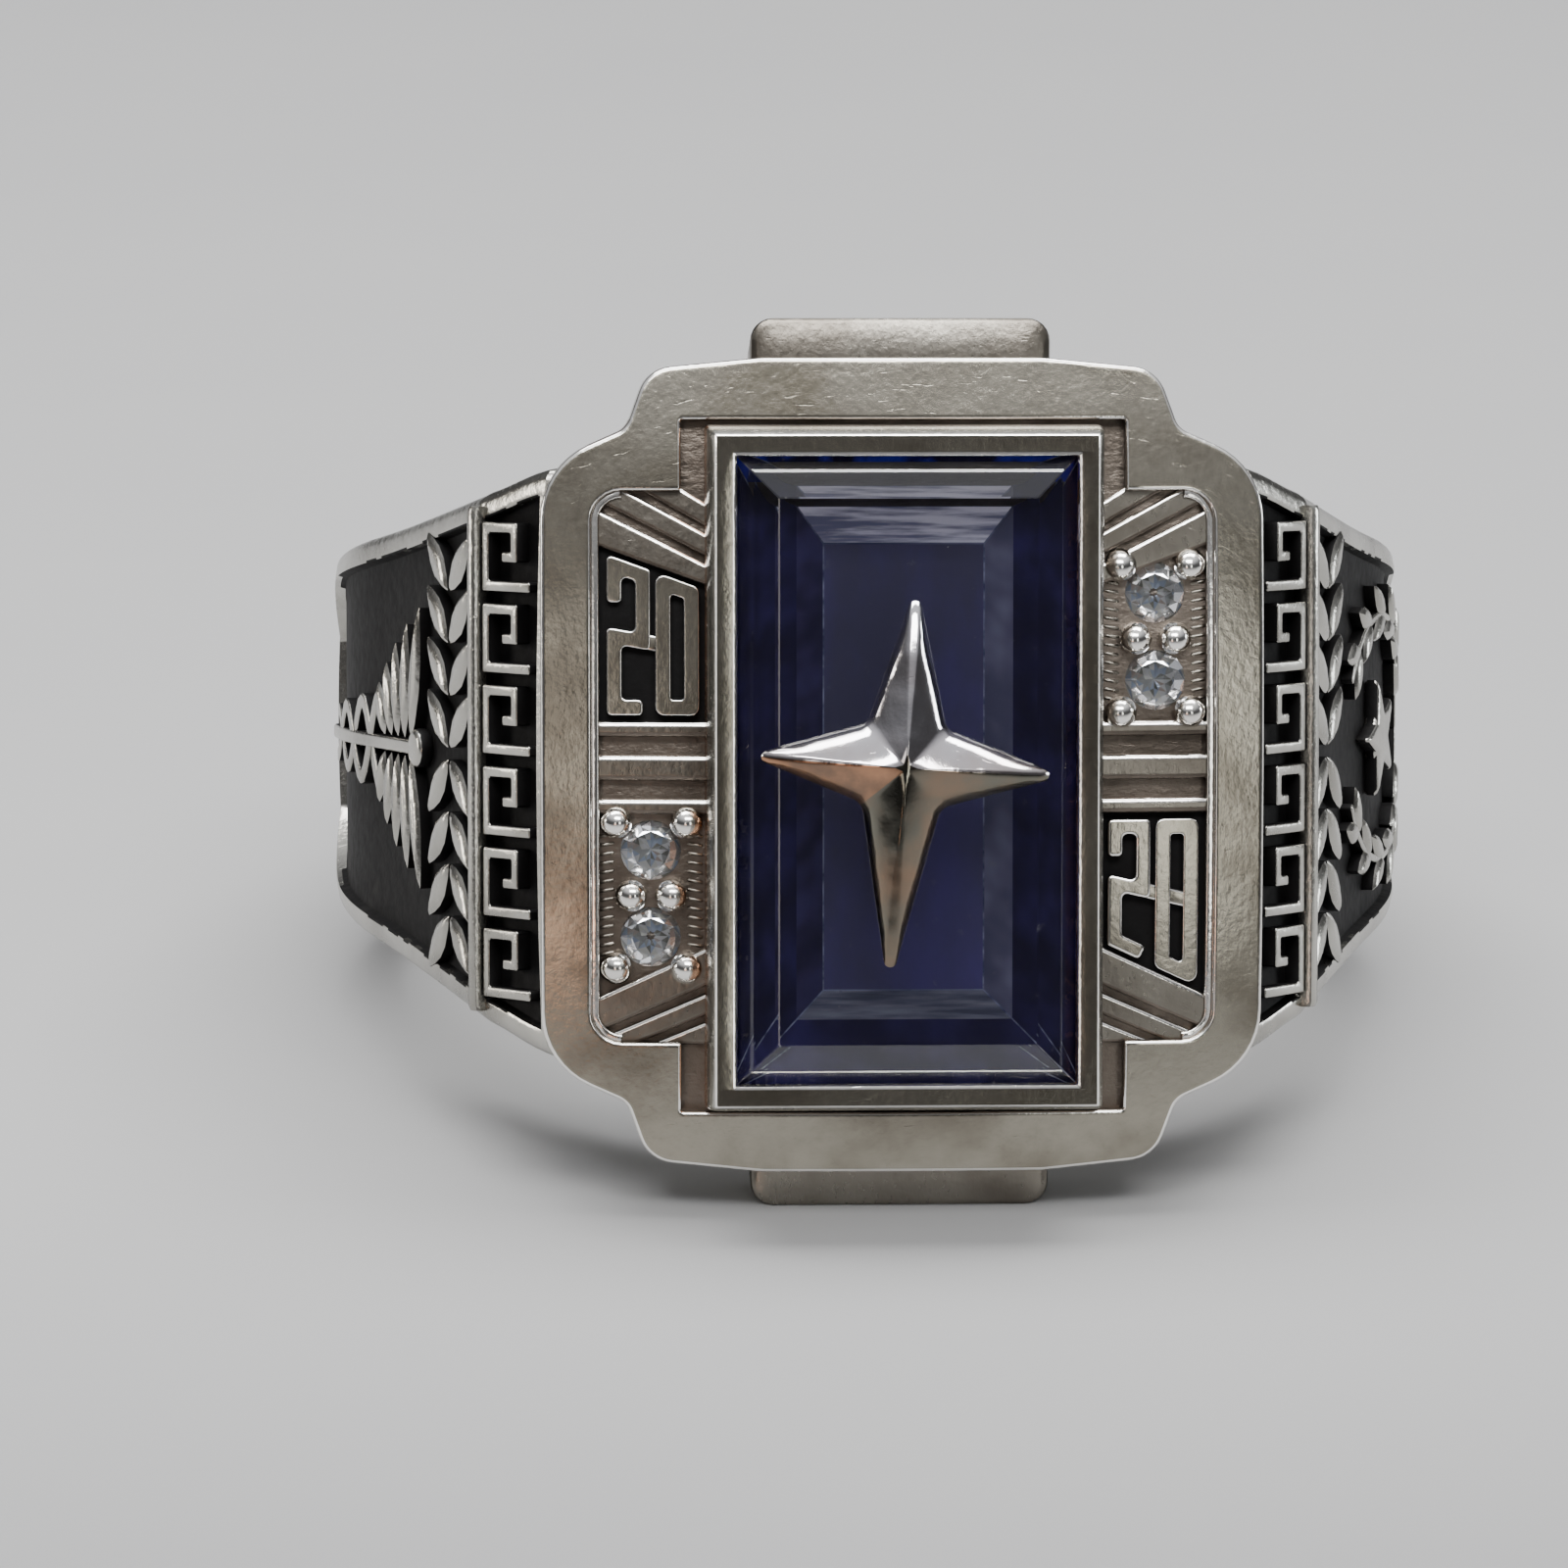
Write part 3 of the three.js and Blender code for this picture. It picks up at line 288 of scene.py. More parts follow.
def dress(piece, finish):
    """Gives the whole piece one finish."""
    piece.data.materials.clear()
    piece.data.materials.append(finish)
    return piece


def settle(piece, node="ring_body", sharp=35):
    """Lays a finished piece in its place on the ring, where it stands for a solid of the frame."""
    with editing(piece):
        bpy.ops.mesh.normals_make_consistent(inside=False)
    only(piece)
    bpy.ops.object.shade_smooth_by_angle(angle=math.radians(sharp))
    piece.data.transform(HEAD_TO_ROW)
    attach(piece, "root")
    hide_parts(node)
    return piece


# Outlines


def round_corners(corners, steps=6):
    """An outline through (x, y, radius) corners, each rounded by an arc."""
    outline = []
    count = len(corners)
    for i, (x, y, radius) in enumerate(corners):
        here = Vector((x, y))
        back = (Vector(corners[i - 1][:2]) - here).normalized()
        ahead = (Vector(corners[(i + 1) % count][:2]) - here).normalized()
        half = back.angle(ahead) / 2
        if radius < 0.01 or half > 1.55:
            outline.append(here)
            continue
        centre = here + (back + ahead).normalized() * radius / math.sin(half)
        start = here + back * radius / math.tan(half) - centre
        sweep = start.angle_signed(here + ahead * radius / math.tan(half) - centre)
        outline += [centre + Matrix.Rotation(-sweep * k / steps, 2) @ start for k in range(steps + 1)]
    return outline


def mirrored(quarter):
    """The whole outline of a shape that is given for x > 0, y > 0."""
    back = quarter[::-1]
    place = lambda corners, sx, sy: [(x * sx, y * sy, radius) for x, y, radius in corners]
    return quarter + place(back, -1, 1) + place(quarter, -1, -1) + place(back, 1, -1)


def box_outline(x, y, radius=0.0, steps=4):
    """A rectangle with these half sides."""
    return round_corners(mirrored([(x, y, radius)]), steps)


def stroke(path, width, closed=False):
    """The outline of a line with width: both sides of it, or (outer, inner) where the line closes."""
    count = len(path)

    def side(sign):
        points = []
        for i, point in enumerate(path):
            before = path[i - 1] if closed or i else None
            after = path[(i + 1) % count] if closed or i < count - 1 else None
            a = (point - before).normalized() if before is not None else None
            b = (after - point).normalized() if after is not None else None
            a, b = a or b, b or a
            across = Vector((-a.y - b.y, a.x + b.x)).normalized()
            spread = max(0.4, across.dot(Vector((-a.y, a.x))))
            points.append(point + across * sign * width / 2 / spread)
        return points

    if closed:
        return side(-1), side(1)
    return side(-1) + side(1)[::-1]


def at_height(outline, z):
    """An outline's points at one height."""
    return [Vector((x, y, z)) for x, y in outline]


def with_radius(outline, radius):
    """An outline as corners that all have one radius."""
    return [(point.x, point.y, radius) for point in outline]


# The surface of the head and of the shoulders


def domed(x, y, z):
    """Bends a flat head onto its dome. The plate's underside stays flat."""
    share = min(1.0, max(0.0, (z - PLATE_BOTTOM) / (RELIEF - PLATE_BOTTOM)))
    return Vector((x, y, z - share * (x * x + y * y) / (2 * DOME_RADIUS)))


def grid_places(reach, step=0.8):
    """Even places on both sides of the middle."""
    count = int(reach / step)
    return [step * i for i in range(-count, count + 1)]


def on_dome(piece):
    """Lays a flat piece on the head's dome."""
    sliced(piece, 0, grid_places(FRAME_X))
    sliced(piece, 1, grid_places(FRAME_Y))
    return bent(piece, domed)


BEVEL_DOWN = Vector((math.cos(BEVEL_ANGLE), -math.sin(BEVEL_ANGLE)))
KNEE = Vector((FRAME_X, PLATE_BOTTOM)) + BEVEL_DOWN * BEVEL_LENGTH
KNEE_ANGLE = math.atan2(KNEE.x, KNEE.y)
TANGENT_ANGLE = KNEE_ANGLE + math.acos(BAND_RADIUS / KNEE.length)
FLANK_LENGTH = math.sqrt(KNEE.length_squared - BAND_RADIUS**2)
BACK_PLACE = FLANK_LENGTH + BAND_RADIUS * (math.pi - TANGENT_ANGLE)

# Widths of the band: degrees from the head, and the share of the way from the back's width to the head's
WIDTHS = [(0, 1.0), (30, 1.0), (39, 0.82), (58, 0.57), (77, 0.39), (90, 0.29), (135, 0.1), (180, 0.0)]


def band_half_width(angle):
    """A smooth curve through WIDTHS."""
    degrees = math.degrees(angle)
    last = len(WIDTHS) - 1
    i = max(k for k in range(last) if degrees >= WIDTHS[k][0])

    def slope(k):
        if k in (0, last):
            return 0.0
        (low, low_share), (high, high_share) = WIDTHS[k - 1], WIDTHS[k + 1]
        return (high_share - low_share) / (high - low)

    (low, low_share), (high, high_share) = WIDTHS[i], WIDTHS[i + 1]
    span = high - low
    t = (degrees - low) / span
    share = (
        (2 * t**3 - 3 * t**2 + 1) * low_share
        + (t**3 - 2 * t**2 + t) * span * slope(i)
        + (3 * t**2 - 2 * t**3) * high_share
        + (t**3 - t**2) * span * slope(i + 1)
    )
    return (BAND_BACK_WIDTH + (BAND_HEAD_WIDTH - BAND_BACK_WIDTH) * share) / 2


def skin(along):
    """The band's profile past the knee: the place (x, z) and the outward direction there."""
    if along < 0:
        return KNEE + BEVEL_DOWN * along, Vector((-BEVEL_DOWN.y, BEVEL_DOWN.x))
    turn = TANGENT_ANGLE + max(0.0, along - FLANK_LENGTH) / BAND_RADIUS
    out = Vector((math.sin(turn), math.cos(turn)))
    if along < FLANK_LENGTH:
        return KNEE + Vector((out.y, -out.x)) * along, out
    return out * BAND_RADIUS, out


def half_width_at(along):
    """The band's half width at a place on its profile."""
    place, _ = skin(along)
    return band_half_width(math.atan2(abs(place.x), place.y))


def on_shoulder(side):
    """The bend that lays a flat piece, drawn as (along, y, lift), on the left (-1) or right (1) side."""

    def bend(along, y, lift):
        place, out = skin(along)
        place = place + out * lift
        return Vector((side * place.x, y, place.y))

    return bend


# Finishes


class Value:
    """One socket of a material, for sums and products as in plain Python."""

    def __init__(self, nodes, socket):
        self.nodes, self.socket = nodes, socket

    def _math(self, operation, *values):
        return self.nodes.add("ShaderNodeMath", {"operation": operation}, *values)

    def __add__(self, other):
        return self._math("ADD", self, other)

    def __sub__(self, other):
        return self._math("SUBTRACT", self, other)

    def __rsub__(self, other):
        return self._math("SUBTRACT", other, self)

    def __mul__(self, other):
        return self._math("MULTIPLY", self, other)

    __radd__, __rmul__ = __add__, __mul__

    def between(self, low, high):
        """0 up to low, 1 from high, and a smooth rise from one to the other."""
        settings = {"interpolation_type": "SMOOTHSTEP"}
        return self.nodes.add("ShaderNodeMapRange", settings, self, low, high, 0.0, 1.0)


class Nodes:
    """A node tree whose nodes are added by expressions."""

    def __init__(self, tree, place):
        self.tree = tree
        self.place = self.add("ShaderNodeTexCoord", {}, output=place)

    def add(self, kind, settings, *values, output=0, **named):
        """Adds a node: its settings first, then the values or links of its sockets."""
        node = self.tree.nodes.new(kind)
        for setting, value in settings.items():
            setattr(node, setting, value)
        sockets = dict(enumerate(values)) | {key.replace("_", " "): value for key, value in named.items()}
        for socket, value in sockets.items():
            self.feed(node.inputs[socket], value)
        return Value(self, node.outputs[output])

    def feed(self, socket, value):
        """Links or sets one socket."""
        if isinstance(value, Value):
            self.tree.links.new(value.socket, socket)
        elif socket.type == "RGBA":
            socket.default_value = (*value, 1.0)
        else:
            socket.default_value = value

    def noise(self, scale, detail=3.0, stretch=(1, 1, 1)):
        place = self.add("ShaderNodeVectorMath", {"operation": "MULTIPLY"}, self.place, stretch)
        amounts = {"Scale": scale, "Detail": detail, "Roughness": 0.55}
        return self.add("ShaderNodeTexNoise", {}, Vector=place, **amounts)

    def mix(self, share, first, second):
        node = self.tree.nodes.new("ShaderNodeMix")
        node.data_type = "RGBA"
        for socket, value in zip((node.inputs[0], node.inputs[6], node.inputs[7]), (share, first, second)):
            self.feed(socket, value)
        return Value(self, node.outputs[2])

    def axis(self, index):
        return self.add("ShaderNodeSeparateXYZ", {}, self.place, output=index)


class Finish(Nodes):
    """A material with a Principled shader."""

    def __init__(self, name, **sockets):
        self.material = bpy.data.materials.new(name)
        self.material.use_nodes = True
        super().__init__(self.material.node_tree, "Object")
        self.shader = self.tree.nodes["Principled BSDF"]
        for socket, value in sockets.items():
            self.feed(self.shader.inputs[socket.replace("_", " ")], value)

    def drive(self, **sockets):
        """Links what changes over the surface to the shader."""
        for socket, value in sockets.items():
            self.tree.links.new(value.socket, self.shader.inputs[socket.replace("_", " ")])
        return self.material

    def bump(self, height, distance, strength=1.0, under=None):
        values = {"Strength": strength, "Distance": distance, "Height": height}
        if under is not None:
            values["Normal"] = under
        return self.add("ShaderNodeBump", {}, **values)


def silver(name, colour, tarnish, rough, grain, waves=0.00002, brush=(2.5, 1.0, 1.0), size=380.0):
    """Cast metal: fine scratches and pits over soft waves and broad changes of colour and polish."""
    finish = Finish(name, Metallic=1.0)
    clouds = finish.noise(size, 4.0)
    wave = finish.noise(650.0, 2.0)
    pits = finish.noise(6500.0, 3.0)
    brushed = finish.noise(4200.0, 2.0, brush)
    scratches = finish.noise(1900.0, 2.0, (1.0, 14.0, 3.0)).between(0.66, 0.74)
    skin_bump = finish.bump(pits + brushed * 0.5 - scratches * 0.2, 0.000012 * grain, 0.8)
    tarnished = clouds.between(0.38, 0.68) * 0.8 + pits.between(0.6, 0.8) * 0.2
    return finish.drive(
        Base_Color=finish.mix(tarnished, colour, tarnish),
        Roughness=rough + brushed * (grain * 0.12) + clouds * 0.08,
        Normal=finish.bump(wave, waves, 0.7, skin_bump),
    )


def antique_black():
    """Blackening left in the hollows, rubbed through to grey metal here and there."""
    finish = Finish("antique_black", Metallic=0.0, Specular_IOR_Level=0.16)
    grain = finish.noise(3800.0, 4.0)
    worn = finish.noise(1100.0, 5.0).between(0.6, 0.8)
    return finish.drive(
        Base_Color=finish.mix(worn * 0.5, (0.0015, 0.0012, 0.0013), (0.024, 0.022, 0.02)),
        Roughness=0.55 + grain * 0.2,
        Normal=finish.bump(grain, 0.00003, 0.5),
    )


def stone_crown():
    """The clear, tinted crown of the main stone, with a little dust on it."""
    finish = Finish("stone_crown", IOR=1.72, Metallic=0.0, Transmission_Weight=1.0)
    dust = finish.noise(3400.0, 2.0).between(0.69, 0.73)
    return finish.drive(
        Base_Color=finish.mix(dust * 0.6, (0.78, 0.77, 0.95), (0.95, 0.95, 1.0)),
        Roughness=0.004 + dust * 0.25,
    )


def facet_with_painted_light(name, deep, light, low=0.35, high=0.75, stretch=(1, 8, 8), scale=500.0, detail=5.0):
    """A facet on the stone's underside, seen through its crown, painted with the light and shade it shows
    there, and with streaks of painted reflection in lighter blue.
    """
    finish = Finish(name, Metallic=0.0, Specular_IOR_Level=0.0)
    streaks = finish.noise(scale, detail, stretch)
    return finish.drive(
        Base_Color=finish.mix(streaks.between(low, high), deep, light),
        Roughness=0.35 + streaks * 0.1,
    )


def clear_crown():
    """The crown of a colourless stone, with the faintest haze on its facets."""
    finish = Finish("clear_crown", Metallic=0.0, IOR=2.1, Transmission_Weight=1.0)
    haze = finish.noise(4000.0, 2.0).between(0.6, 0.8)
    return finish.drive(
        Base_Color=finish.mix(haze, (0.96, 0.97, 1.0), (0.85, 0.88, 0.95)),
        Roughness=0.0 + haze * 0.06,
    )


def glint(name, colour, metal=0.25):
    """A facet of a colourless stone, painted in one tint as a glint of the light it throws back; with much
    metal it is a mirror as well.
    """
    finish = Finish(name, Metallic=metal)
    flaws = finish.noise(5000.0, 2.0)
    return finish.drive(
        Base_Color=finish.mix(flaws.between(0.45, 0.75) * 0.4, colour, (0.9, 0.93, 1.0)),
        Roughness=0.08 + flaws * 0.06,
    )


def pale_table():
    """A plain table top, darker in front of the camera, where the dark is painted shade for the metal to
    reflect.
    """
    finish = Finish("pale_table", Roughness=0.62)
    grain = finish.noise(70.0, 4.0)
    # Painted shade: the table is painted dark in front of the camera, so that the metal reflects dark
    # there.
    front = (0 - finish.axis(1)).between(0.306, 0.372)
    pale = finish.mix(grain, (0.27, 0.27, 0.273), (0.29, 0.288, 0.286))
    return finish.drive(Base_Color=finish.mix(front, pale, (0.045, 0.045, 0.047)))


SATIN = silver("satin_silver", (0.318, 0.298, 0.248), (0.16, 0.143, 0.114), 0.155, 0.5, 0.000018)
STEP = silver("brown_satin", (0.215, 0.20, 0.172), (0.12, 0.105, 0.088), 0.2, 0.8, 0.00004)
# A painted warm reflection: the copper colour of warm light, laid on the bezel's walls that face left.
PAINTED_WARM_REFLECTION = silver("painted_warm_reflection", (0.62, 0.36, 0.23), (0.15, 0.10, 0.075), 0.16, 1.0, 0.00005)
CAST = silver("cast_silver", (0.45, 0.44, 0.405), (0.27, 0.26, 0.235), 0.15, 1.0)
# Brown patina of the hollows, which struck() also lays on the lower edges of the bars and rays as painted
# shade.
HOLLOW_AND_SHADE = silver(
    "brown_hollow_and_painted_shade", (0.165, 0.14, 0.118), (0.07, 0.058, 0.048), 0.26, 2.2, 0.00003, (0.7, 2.5, 2.5)
)
POLISHED = silver("polished_edge", (0.93, 0.91, 0.87), (0.82, 0.80, 0.75), 0.07, 0.4)
STAR_METAL = silver("star_polish", (0.68, 0.66, 0.69), (0.50, 0.44, 0.42), 0.05, 0.25, 0.0001)
# Painted light on the star: a painted shade for its lower half, and a painted warm reflection in copper for
# the left part of that half.
STAR_PAINTED_WARM_REFLECTION = silver("star_painted_warm_reflection", (0.42, 0.23, 0.14), (0.13, 0.10, 0.08), 0.06, 0.3, 0.00014, size=900.0)
STAR_SHADE = silver("star_shade", (0.15, 0.145, 0.12), (0.24, 0.16, 0.11), 0.06, 0.3, 0.00014, size=700.0)
BLACK = antique_black()
CROWN = stone_crown()
# Facets of the main stone's underside, painted with what the crown shows of them: dark tones of the stone's
# blue, painted shade on the facets that face left, and lighter painted reflections on those that face right
# or up the head and on the narrow edges.
DEEP = facet_with_painted_light("stone_deep", (0.066, 0.064, 0.098), (0.080, 0.068, 0.18), 0.35, 0.75, (2, 1, 1), 220.0)
RING_STREAKS = {"stretch": (3, 0.4, 3), "scale": 250.0, "detail": 2.0}
SIDE_STREAKS = {"stretch": (3, 0.2, 3), "scale": 300.0, "detail": 2.0}
RING = facet_with_painted_light("stone_ring", (0.020, 0.017, 0.045), (0.036, 0.030, 0.10), **RING_STREAKS)
SHADED_LEFT_FACET = facet_with_painted_light("stone_shaded_left", (0.030, 0.026, 0.060), (0.058, 0.050, 0.12), **SIDE_STREAKS)
LIT_RIGHT_FACET = facet_with_painted_light("stone_lit_right", (0.11, 0.11, 0.16), (0.21, 0.21, 0.28), **SIDE_STREAKS)
BACK_LOW = facet_with_painted_light("stone_low", (0.07, 0.075, 0.095), (0.20, 0.21, 0.24))
PAINTED_REFLECTION = facet_with_painted_light("stone_painted_reflection", (0.24, 0.245, 0.34), (1.0, 1.0, 1.0), 0.40, 0.62, (1, 11, 11), 420.0)
PAINTED_BLUE_LIGHT = facet_with_painted_light("stone_painted_blue_light", (0.016, 0.014, 0.05), (0.035, 0.035, 0.50), 0.48, 0.58, (4, 1, 1), 150.0)
EDGE_HIGHLIGHT = facet_with_painted_light("stone_edge_highlight", (0.05, 0.055, 0.10), (0.22, 0.24, 0.32), 0.3, 0.7)
CLEAR = clear_crown()
# Painted glints: tints of thrown-back light, laid on the facets of the small stones.
PAINTED_GLINTS = [
    glint("glint_white", (1.0, 1.0, 1.0)),
    glint("glint_grey", (0.33, 0.33, 0.29)),
    glint("glint_pearl", (0.92, 0.92, 0.86)),
    glint("glint_blue", (0.55, 0.64, 0.82)),
    glint("glint_silver", (0.55, 0.56, 0.55)),
    glint("glint_rose", (0.66, 0.56, 0.50)),
]
FLASH = glint("glint_flash", (0.95, 0.96, 1.0), 0.95)


# The band


def field_half_width(along):
    """Half the width of the sunk field on a shoulder; it draws in towards its far end."""
    past = max(0.0, (along - SHOULDER_END + 3.2) / 3.2)
    return (half_width_at(along) - SHOULDER_RIM) * (1 - 0.4 * past**2.2)


FIELD_ENDS = [-BEVEL_LENGTH + BAND_MARGIN, -RIB_WIDTH / 2, RIB_WIDTH / 2, SHOULDER_END]
WALL_SLOPE = 0.035


def in_field(along):
    """Whether a place on the profile has a sunk field."""
    return FIELD_ENDS[0] < along < FIELD_ENDS[1] or FIELD_ENDS[2] < along < FIELD_ENDS[3]


# The wall of the sunk field: how far past the field's edge, and the share of the depth there
FIELD_WALL = [(0.10, 0.0), (0.04, 0.015), (0.0, 0.07), (-0.03, 0.5), (-0.06, 0.93), (-0.10, 1.0)]


def band_section(place, out, half, field, depth):
    """The closed section of the band at one place, across its outer face and back along the inner one."""
    crown = lambda y: -BAND_CROWN * (y / half) ** 2
    half -= 0.02
    shoulder = crown(half) - BAND_EDGE
    outer = []
    for k in range(7):
        turn = math.pi / 2 * k / 6
        outer.append((half - BAND_EDGE * (1 - math.cos(turn)), shoulder + BAND_EDGE * math.sin(turn)))
    for past, share in FIELD_WALL:
        y = field + past
        outer.append((y, crown(y) * (1 - share) - depth * share if depth else crown(y)))
    for share in (0.66, 0.33, 0.0):
        y = (field - 0.10) * share
        outer.append((y, -depth if depth else crown(y)))
    outer += [(-y, lift) for y, lift in outer[-2::-1]]
    angle = math.atan2(place.x, place.y)
    inward = Vector((math.sin(angle), math.cos(angle)))
    inner = []
    for k in range(6):
        turn = math.pi / 2 * k / 5
        drawn_in, lifted = (COMFORT_EDGE * (1 - share) for share in (math.cos(turn), math.sin(turn)))
        inner.append((half - drawn_in, FINGER_RADIUS + lifted))
    inner += [(half * 0.35, FINGER_RADIUS)]
    inner += [(-y, radius) for y, radius in inner[::-1]]
    top = [Vector((*(place + out * lift), y)) for y, lift in outer]
    bottom = [Vector((*(inward * radius), y)) for y, radius in inner]
    start, end = top[-1], bottom[-1]
    side = [start.lerp(end, share) for share in (0.3, 0.6)]
    other = [bottom[0].lerp(top[0], share) for share in (0.4, 0.7)]
    return [Vector((p.x, p.z, p.y)) for p in top + side + bottom[::-1] + other]


def stretch_places(low, high, step):
    """Even places from low up to high, without high itself."""
    count = max(1, round((high - low) / step))
    return [low + (high - low) * k / count for k in range(count)]


def band():
    """The band with its sunk fields, rolled through sections from one knee round the back to the other."""
    ends = []
    for end in FIELD_ENDS:
        ends += [end - WALL_SLOPE, end + WALL_SLOPE]
    marks = [-BEVEL_LENGTH, *ends[:4], 0.0, *ends[4:6], FLANK_LENGTH, *ends[6:], BACK_PLACE]
    marks.sort()
    places = []
    for low, high in zip(marks, marks[1:]):
        places += stretch_places(low, high, 0.32)
    right = []
    for along in places:
        depth = SHOULDER_DEPTH if in_field(along) else 0.0
        field = field_half_width(min(along, SHOULDER_END))
        right.append(band_section(*skin(along), half_width_at(along), field, depth))
    left = [[Vector((-p.x, p.y, p.z)) for p in section] for section in right[::-1]]
    field = field_half_width(SHOULDER_END)
    back = band_section(*skin(BACK_PLACE), half_width_at(BACK_PLACE), field, 0.0)
    half = band_half_width(0.0)
    under = []
    for share in (-0.75, -0.5, -0.25, 0.0, 0.25, 0.5, 0.75):
        place = Vector((FRAME_X * share, PLATE_BOTTOM))
        under.append(band_section(place, Vector((0, 1)), half, half - SHOULDER_RIM, 0.0))
    piece = rolled("band", right + [back] + left + under, closed=True)
    dress(piece, CAST)

    def sunk(centre, normal):
        under_head = math.atan2(abs(centre.x), centre.z) < math.atan2(FRAME_X, PLATE_BOTTOM)
        if under_head or math.hypot(centre.x, centre.z) < FINGER_RADIUS + 0.7:
            return False
        best = min(places, key=lambda along: (skin(along)[0] - Vector((abs(centre.x), centre.z))).length)
        place, out = skin(best)
        lift = (Vector((abs(centre.x), centre.z)) - place).dot(out)
        inside = abs(centre.y) < field_half_width(min(best, SHOULDER_END)) + 0.01
        return inside and lift < -0.225 * SHOULDER_DEPTH and in_field(best)

    paint(piece, BLACK, sunk)
    return settle(piece)


# Ornaments on the shoulders, drawn flat as (along, y) and laid on


def raised(name, outline, height=SHOULDER_DEPTH, edge=0.07):
    """A relief that stands on the floor of the sunk field, with rounded edges."""
    return soften(slab(name, outline, -SHOULDER_DEPTH - 0.05, height - SHOULDER_DEPTH), edge, 3)


def blacken_sides(piece):
    """Cast silver with antique black left on the sides of a relief."""
    dress(piece, CAST)
    return paint(piece, BLACK, lambda centre, normal: abs(normal.z) < 0.3)


def sided(name, side):
    """A piece's name with its side."""
    return name + ("_right" if side > 0 else "_left")


def lay_on(piece, side, step=0.35):
    """Bends a flat piece onto a shoulder, cut finely enough for the round part of the band."""
    low = min(vertex.co.x for vertex in piece.data.vertices)
    high = max(vertex.co.x for vertex in piece.data.vertices)
    if high > FLANK_LENGTH:
        sliced(piece, 0, stretch_places(max(low, FLANK_LENGTH - step), high, step)[1:])
    return settle(bent(piece, on_shoulder(side)))


def leaf(length, width, ridge=0.1):
    """A pointed leaf with a raised middle."""
    side = [(0.0, 0.0), (0.14, 0.26), (0.38, 0.5), (0.6, 0.47), (0.82, 0.26), (1.0, 0.0)]
    other = [(along, -aside) for along, aside in side[-2:0:-1]]
    outline = [(along * length, aside * width) for along, aside in side + other]
    piece = slab("leaf", outline, -SHOULDER_DEPTH - 0.05, -ridge)
    inset_top(piece, (width * 0.1, ridge * 0.55), (width * 0.18, ridge * 0.45))
    return soften(piece, 0.03, 2, 50)


# One hook of the key, as shares of its pitch and of the bevel
KEY_HOOK = [(0, 0.02), (0, 0.98), (0.72, 0.98), (0.72, 0.36), (0.36, 0.36), (0.36, 0.62)]
KEY_COUNT = 6
KEY_MARGIN = 0.16
KEY_STROKE = 0.2


def key_band(side):
    """A Greek key on the bevel between the head and the rib."""
    low = -BEVEL_LENGTH + BAND_MARGIN + KEY_MARGIN
    high = -RIB_WIDTH / 2 - KEY_MARGIN
    reach = half_width_at((low + high) / 2) - SHOULDER_RIM - 0.2
    pitch = 2 * reach / KEY_COUNT
    pieces = []
    for i in range(KEY_COUNT):
        start = -reach + i * pitch
        path = [Vector((low + (high - low) * t, start + pitch * (u + 0.14))) for u, t in KEY_HOOK]
        outline = round_corners(with_radius(stroke(path, KEY_STROKE), 0.04), 2)
        pieces.append(raised("hook", outline, edge=0.045))
    return settle(bent(blacken_sides(joined(sided("greek_key", side), pieces)), on_shoulder(side)))


# Half of the rib's section, as shares of its width and height
RIB_PROFILE = [(0.15, 0.98), (0.36, 0.7), (0.5, 0.0), (0.5, -2.4)]


def rib(side):
    """The raised line over the knee between the bevel and the flank."""
    half = half_width_at(0) - SHOULDER_RIM / 2
    profile = [(-along, lift) for along, lift in RIB_PROFILE[::-1]] + RIB_PROFILE
    bend = on_shoulder(side)
    sections = []
    for share in (-1, -0.98, -0.5, 0, 0.5, 0.98, 1):
        height = RIB_HEIGHT * (0.6 if abs(share) == 1 else 1.0)
        sections.append([bend(along * RIB_WIDTH, share * half, lift * height) for along, lift in profile])
    return settle(dress(rolled(sided("shoulder_rib", side), sections), CAST))


LEAF_PAIRS = 4
LEAF_MIDDLE = (RIB_WIDTH + LEAF_BAND_WIDTH) / 2 + 2 * BAND_MARGIN
EMBLEM_START = LEAF_MIDDLE + LEAF_BAND_WIDTH / 2 + 2 * BAND_MARGIN


def leaf_band(side):
    """Pairs of laurel leaves that point away from the middle."""
    reach = half_width_at(LEAF_MIDDLE) - SHOULDER_RIM - 0.25
    pitch = reach / LEAF_PAIRS
    lean = math.radians(46)
    first = leaf(LEAF_BAND_WIDTH / 2 / math.sin(lean), 0.62)
    pieces = []
    for end in (-1, 1):
        for i in range(LEAF_PAIRS):
            start = end * (0.12 + i * pitch)
            for half in (-1, 1):
                turn = end * (math.pi / 2 - half * lean)
                pieces.append(copied(first, turn, (LEAF_MIDDLE + half * 0.06, start, 0)))
    bpy.data.objects.remove(first)
    return lay_on(blacken_sides(joined(sided("laurel_row", side), pieces)), side)


SERPENT_STEPS = 24


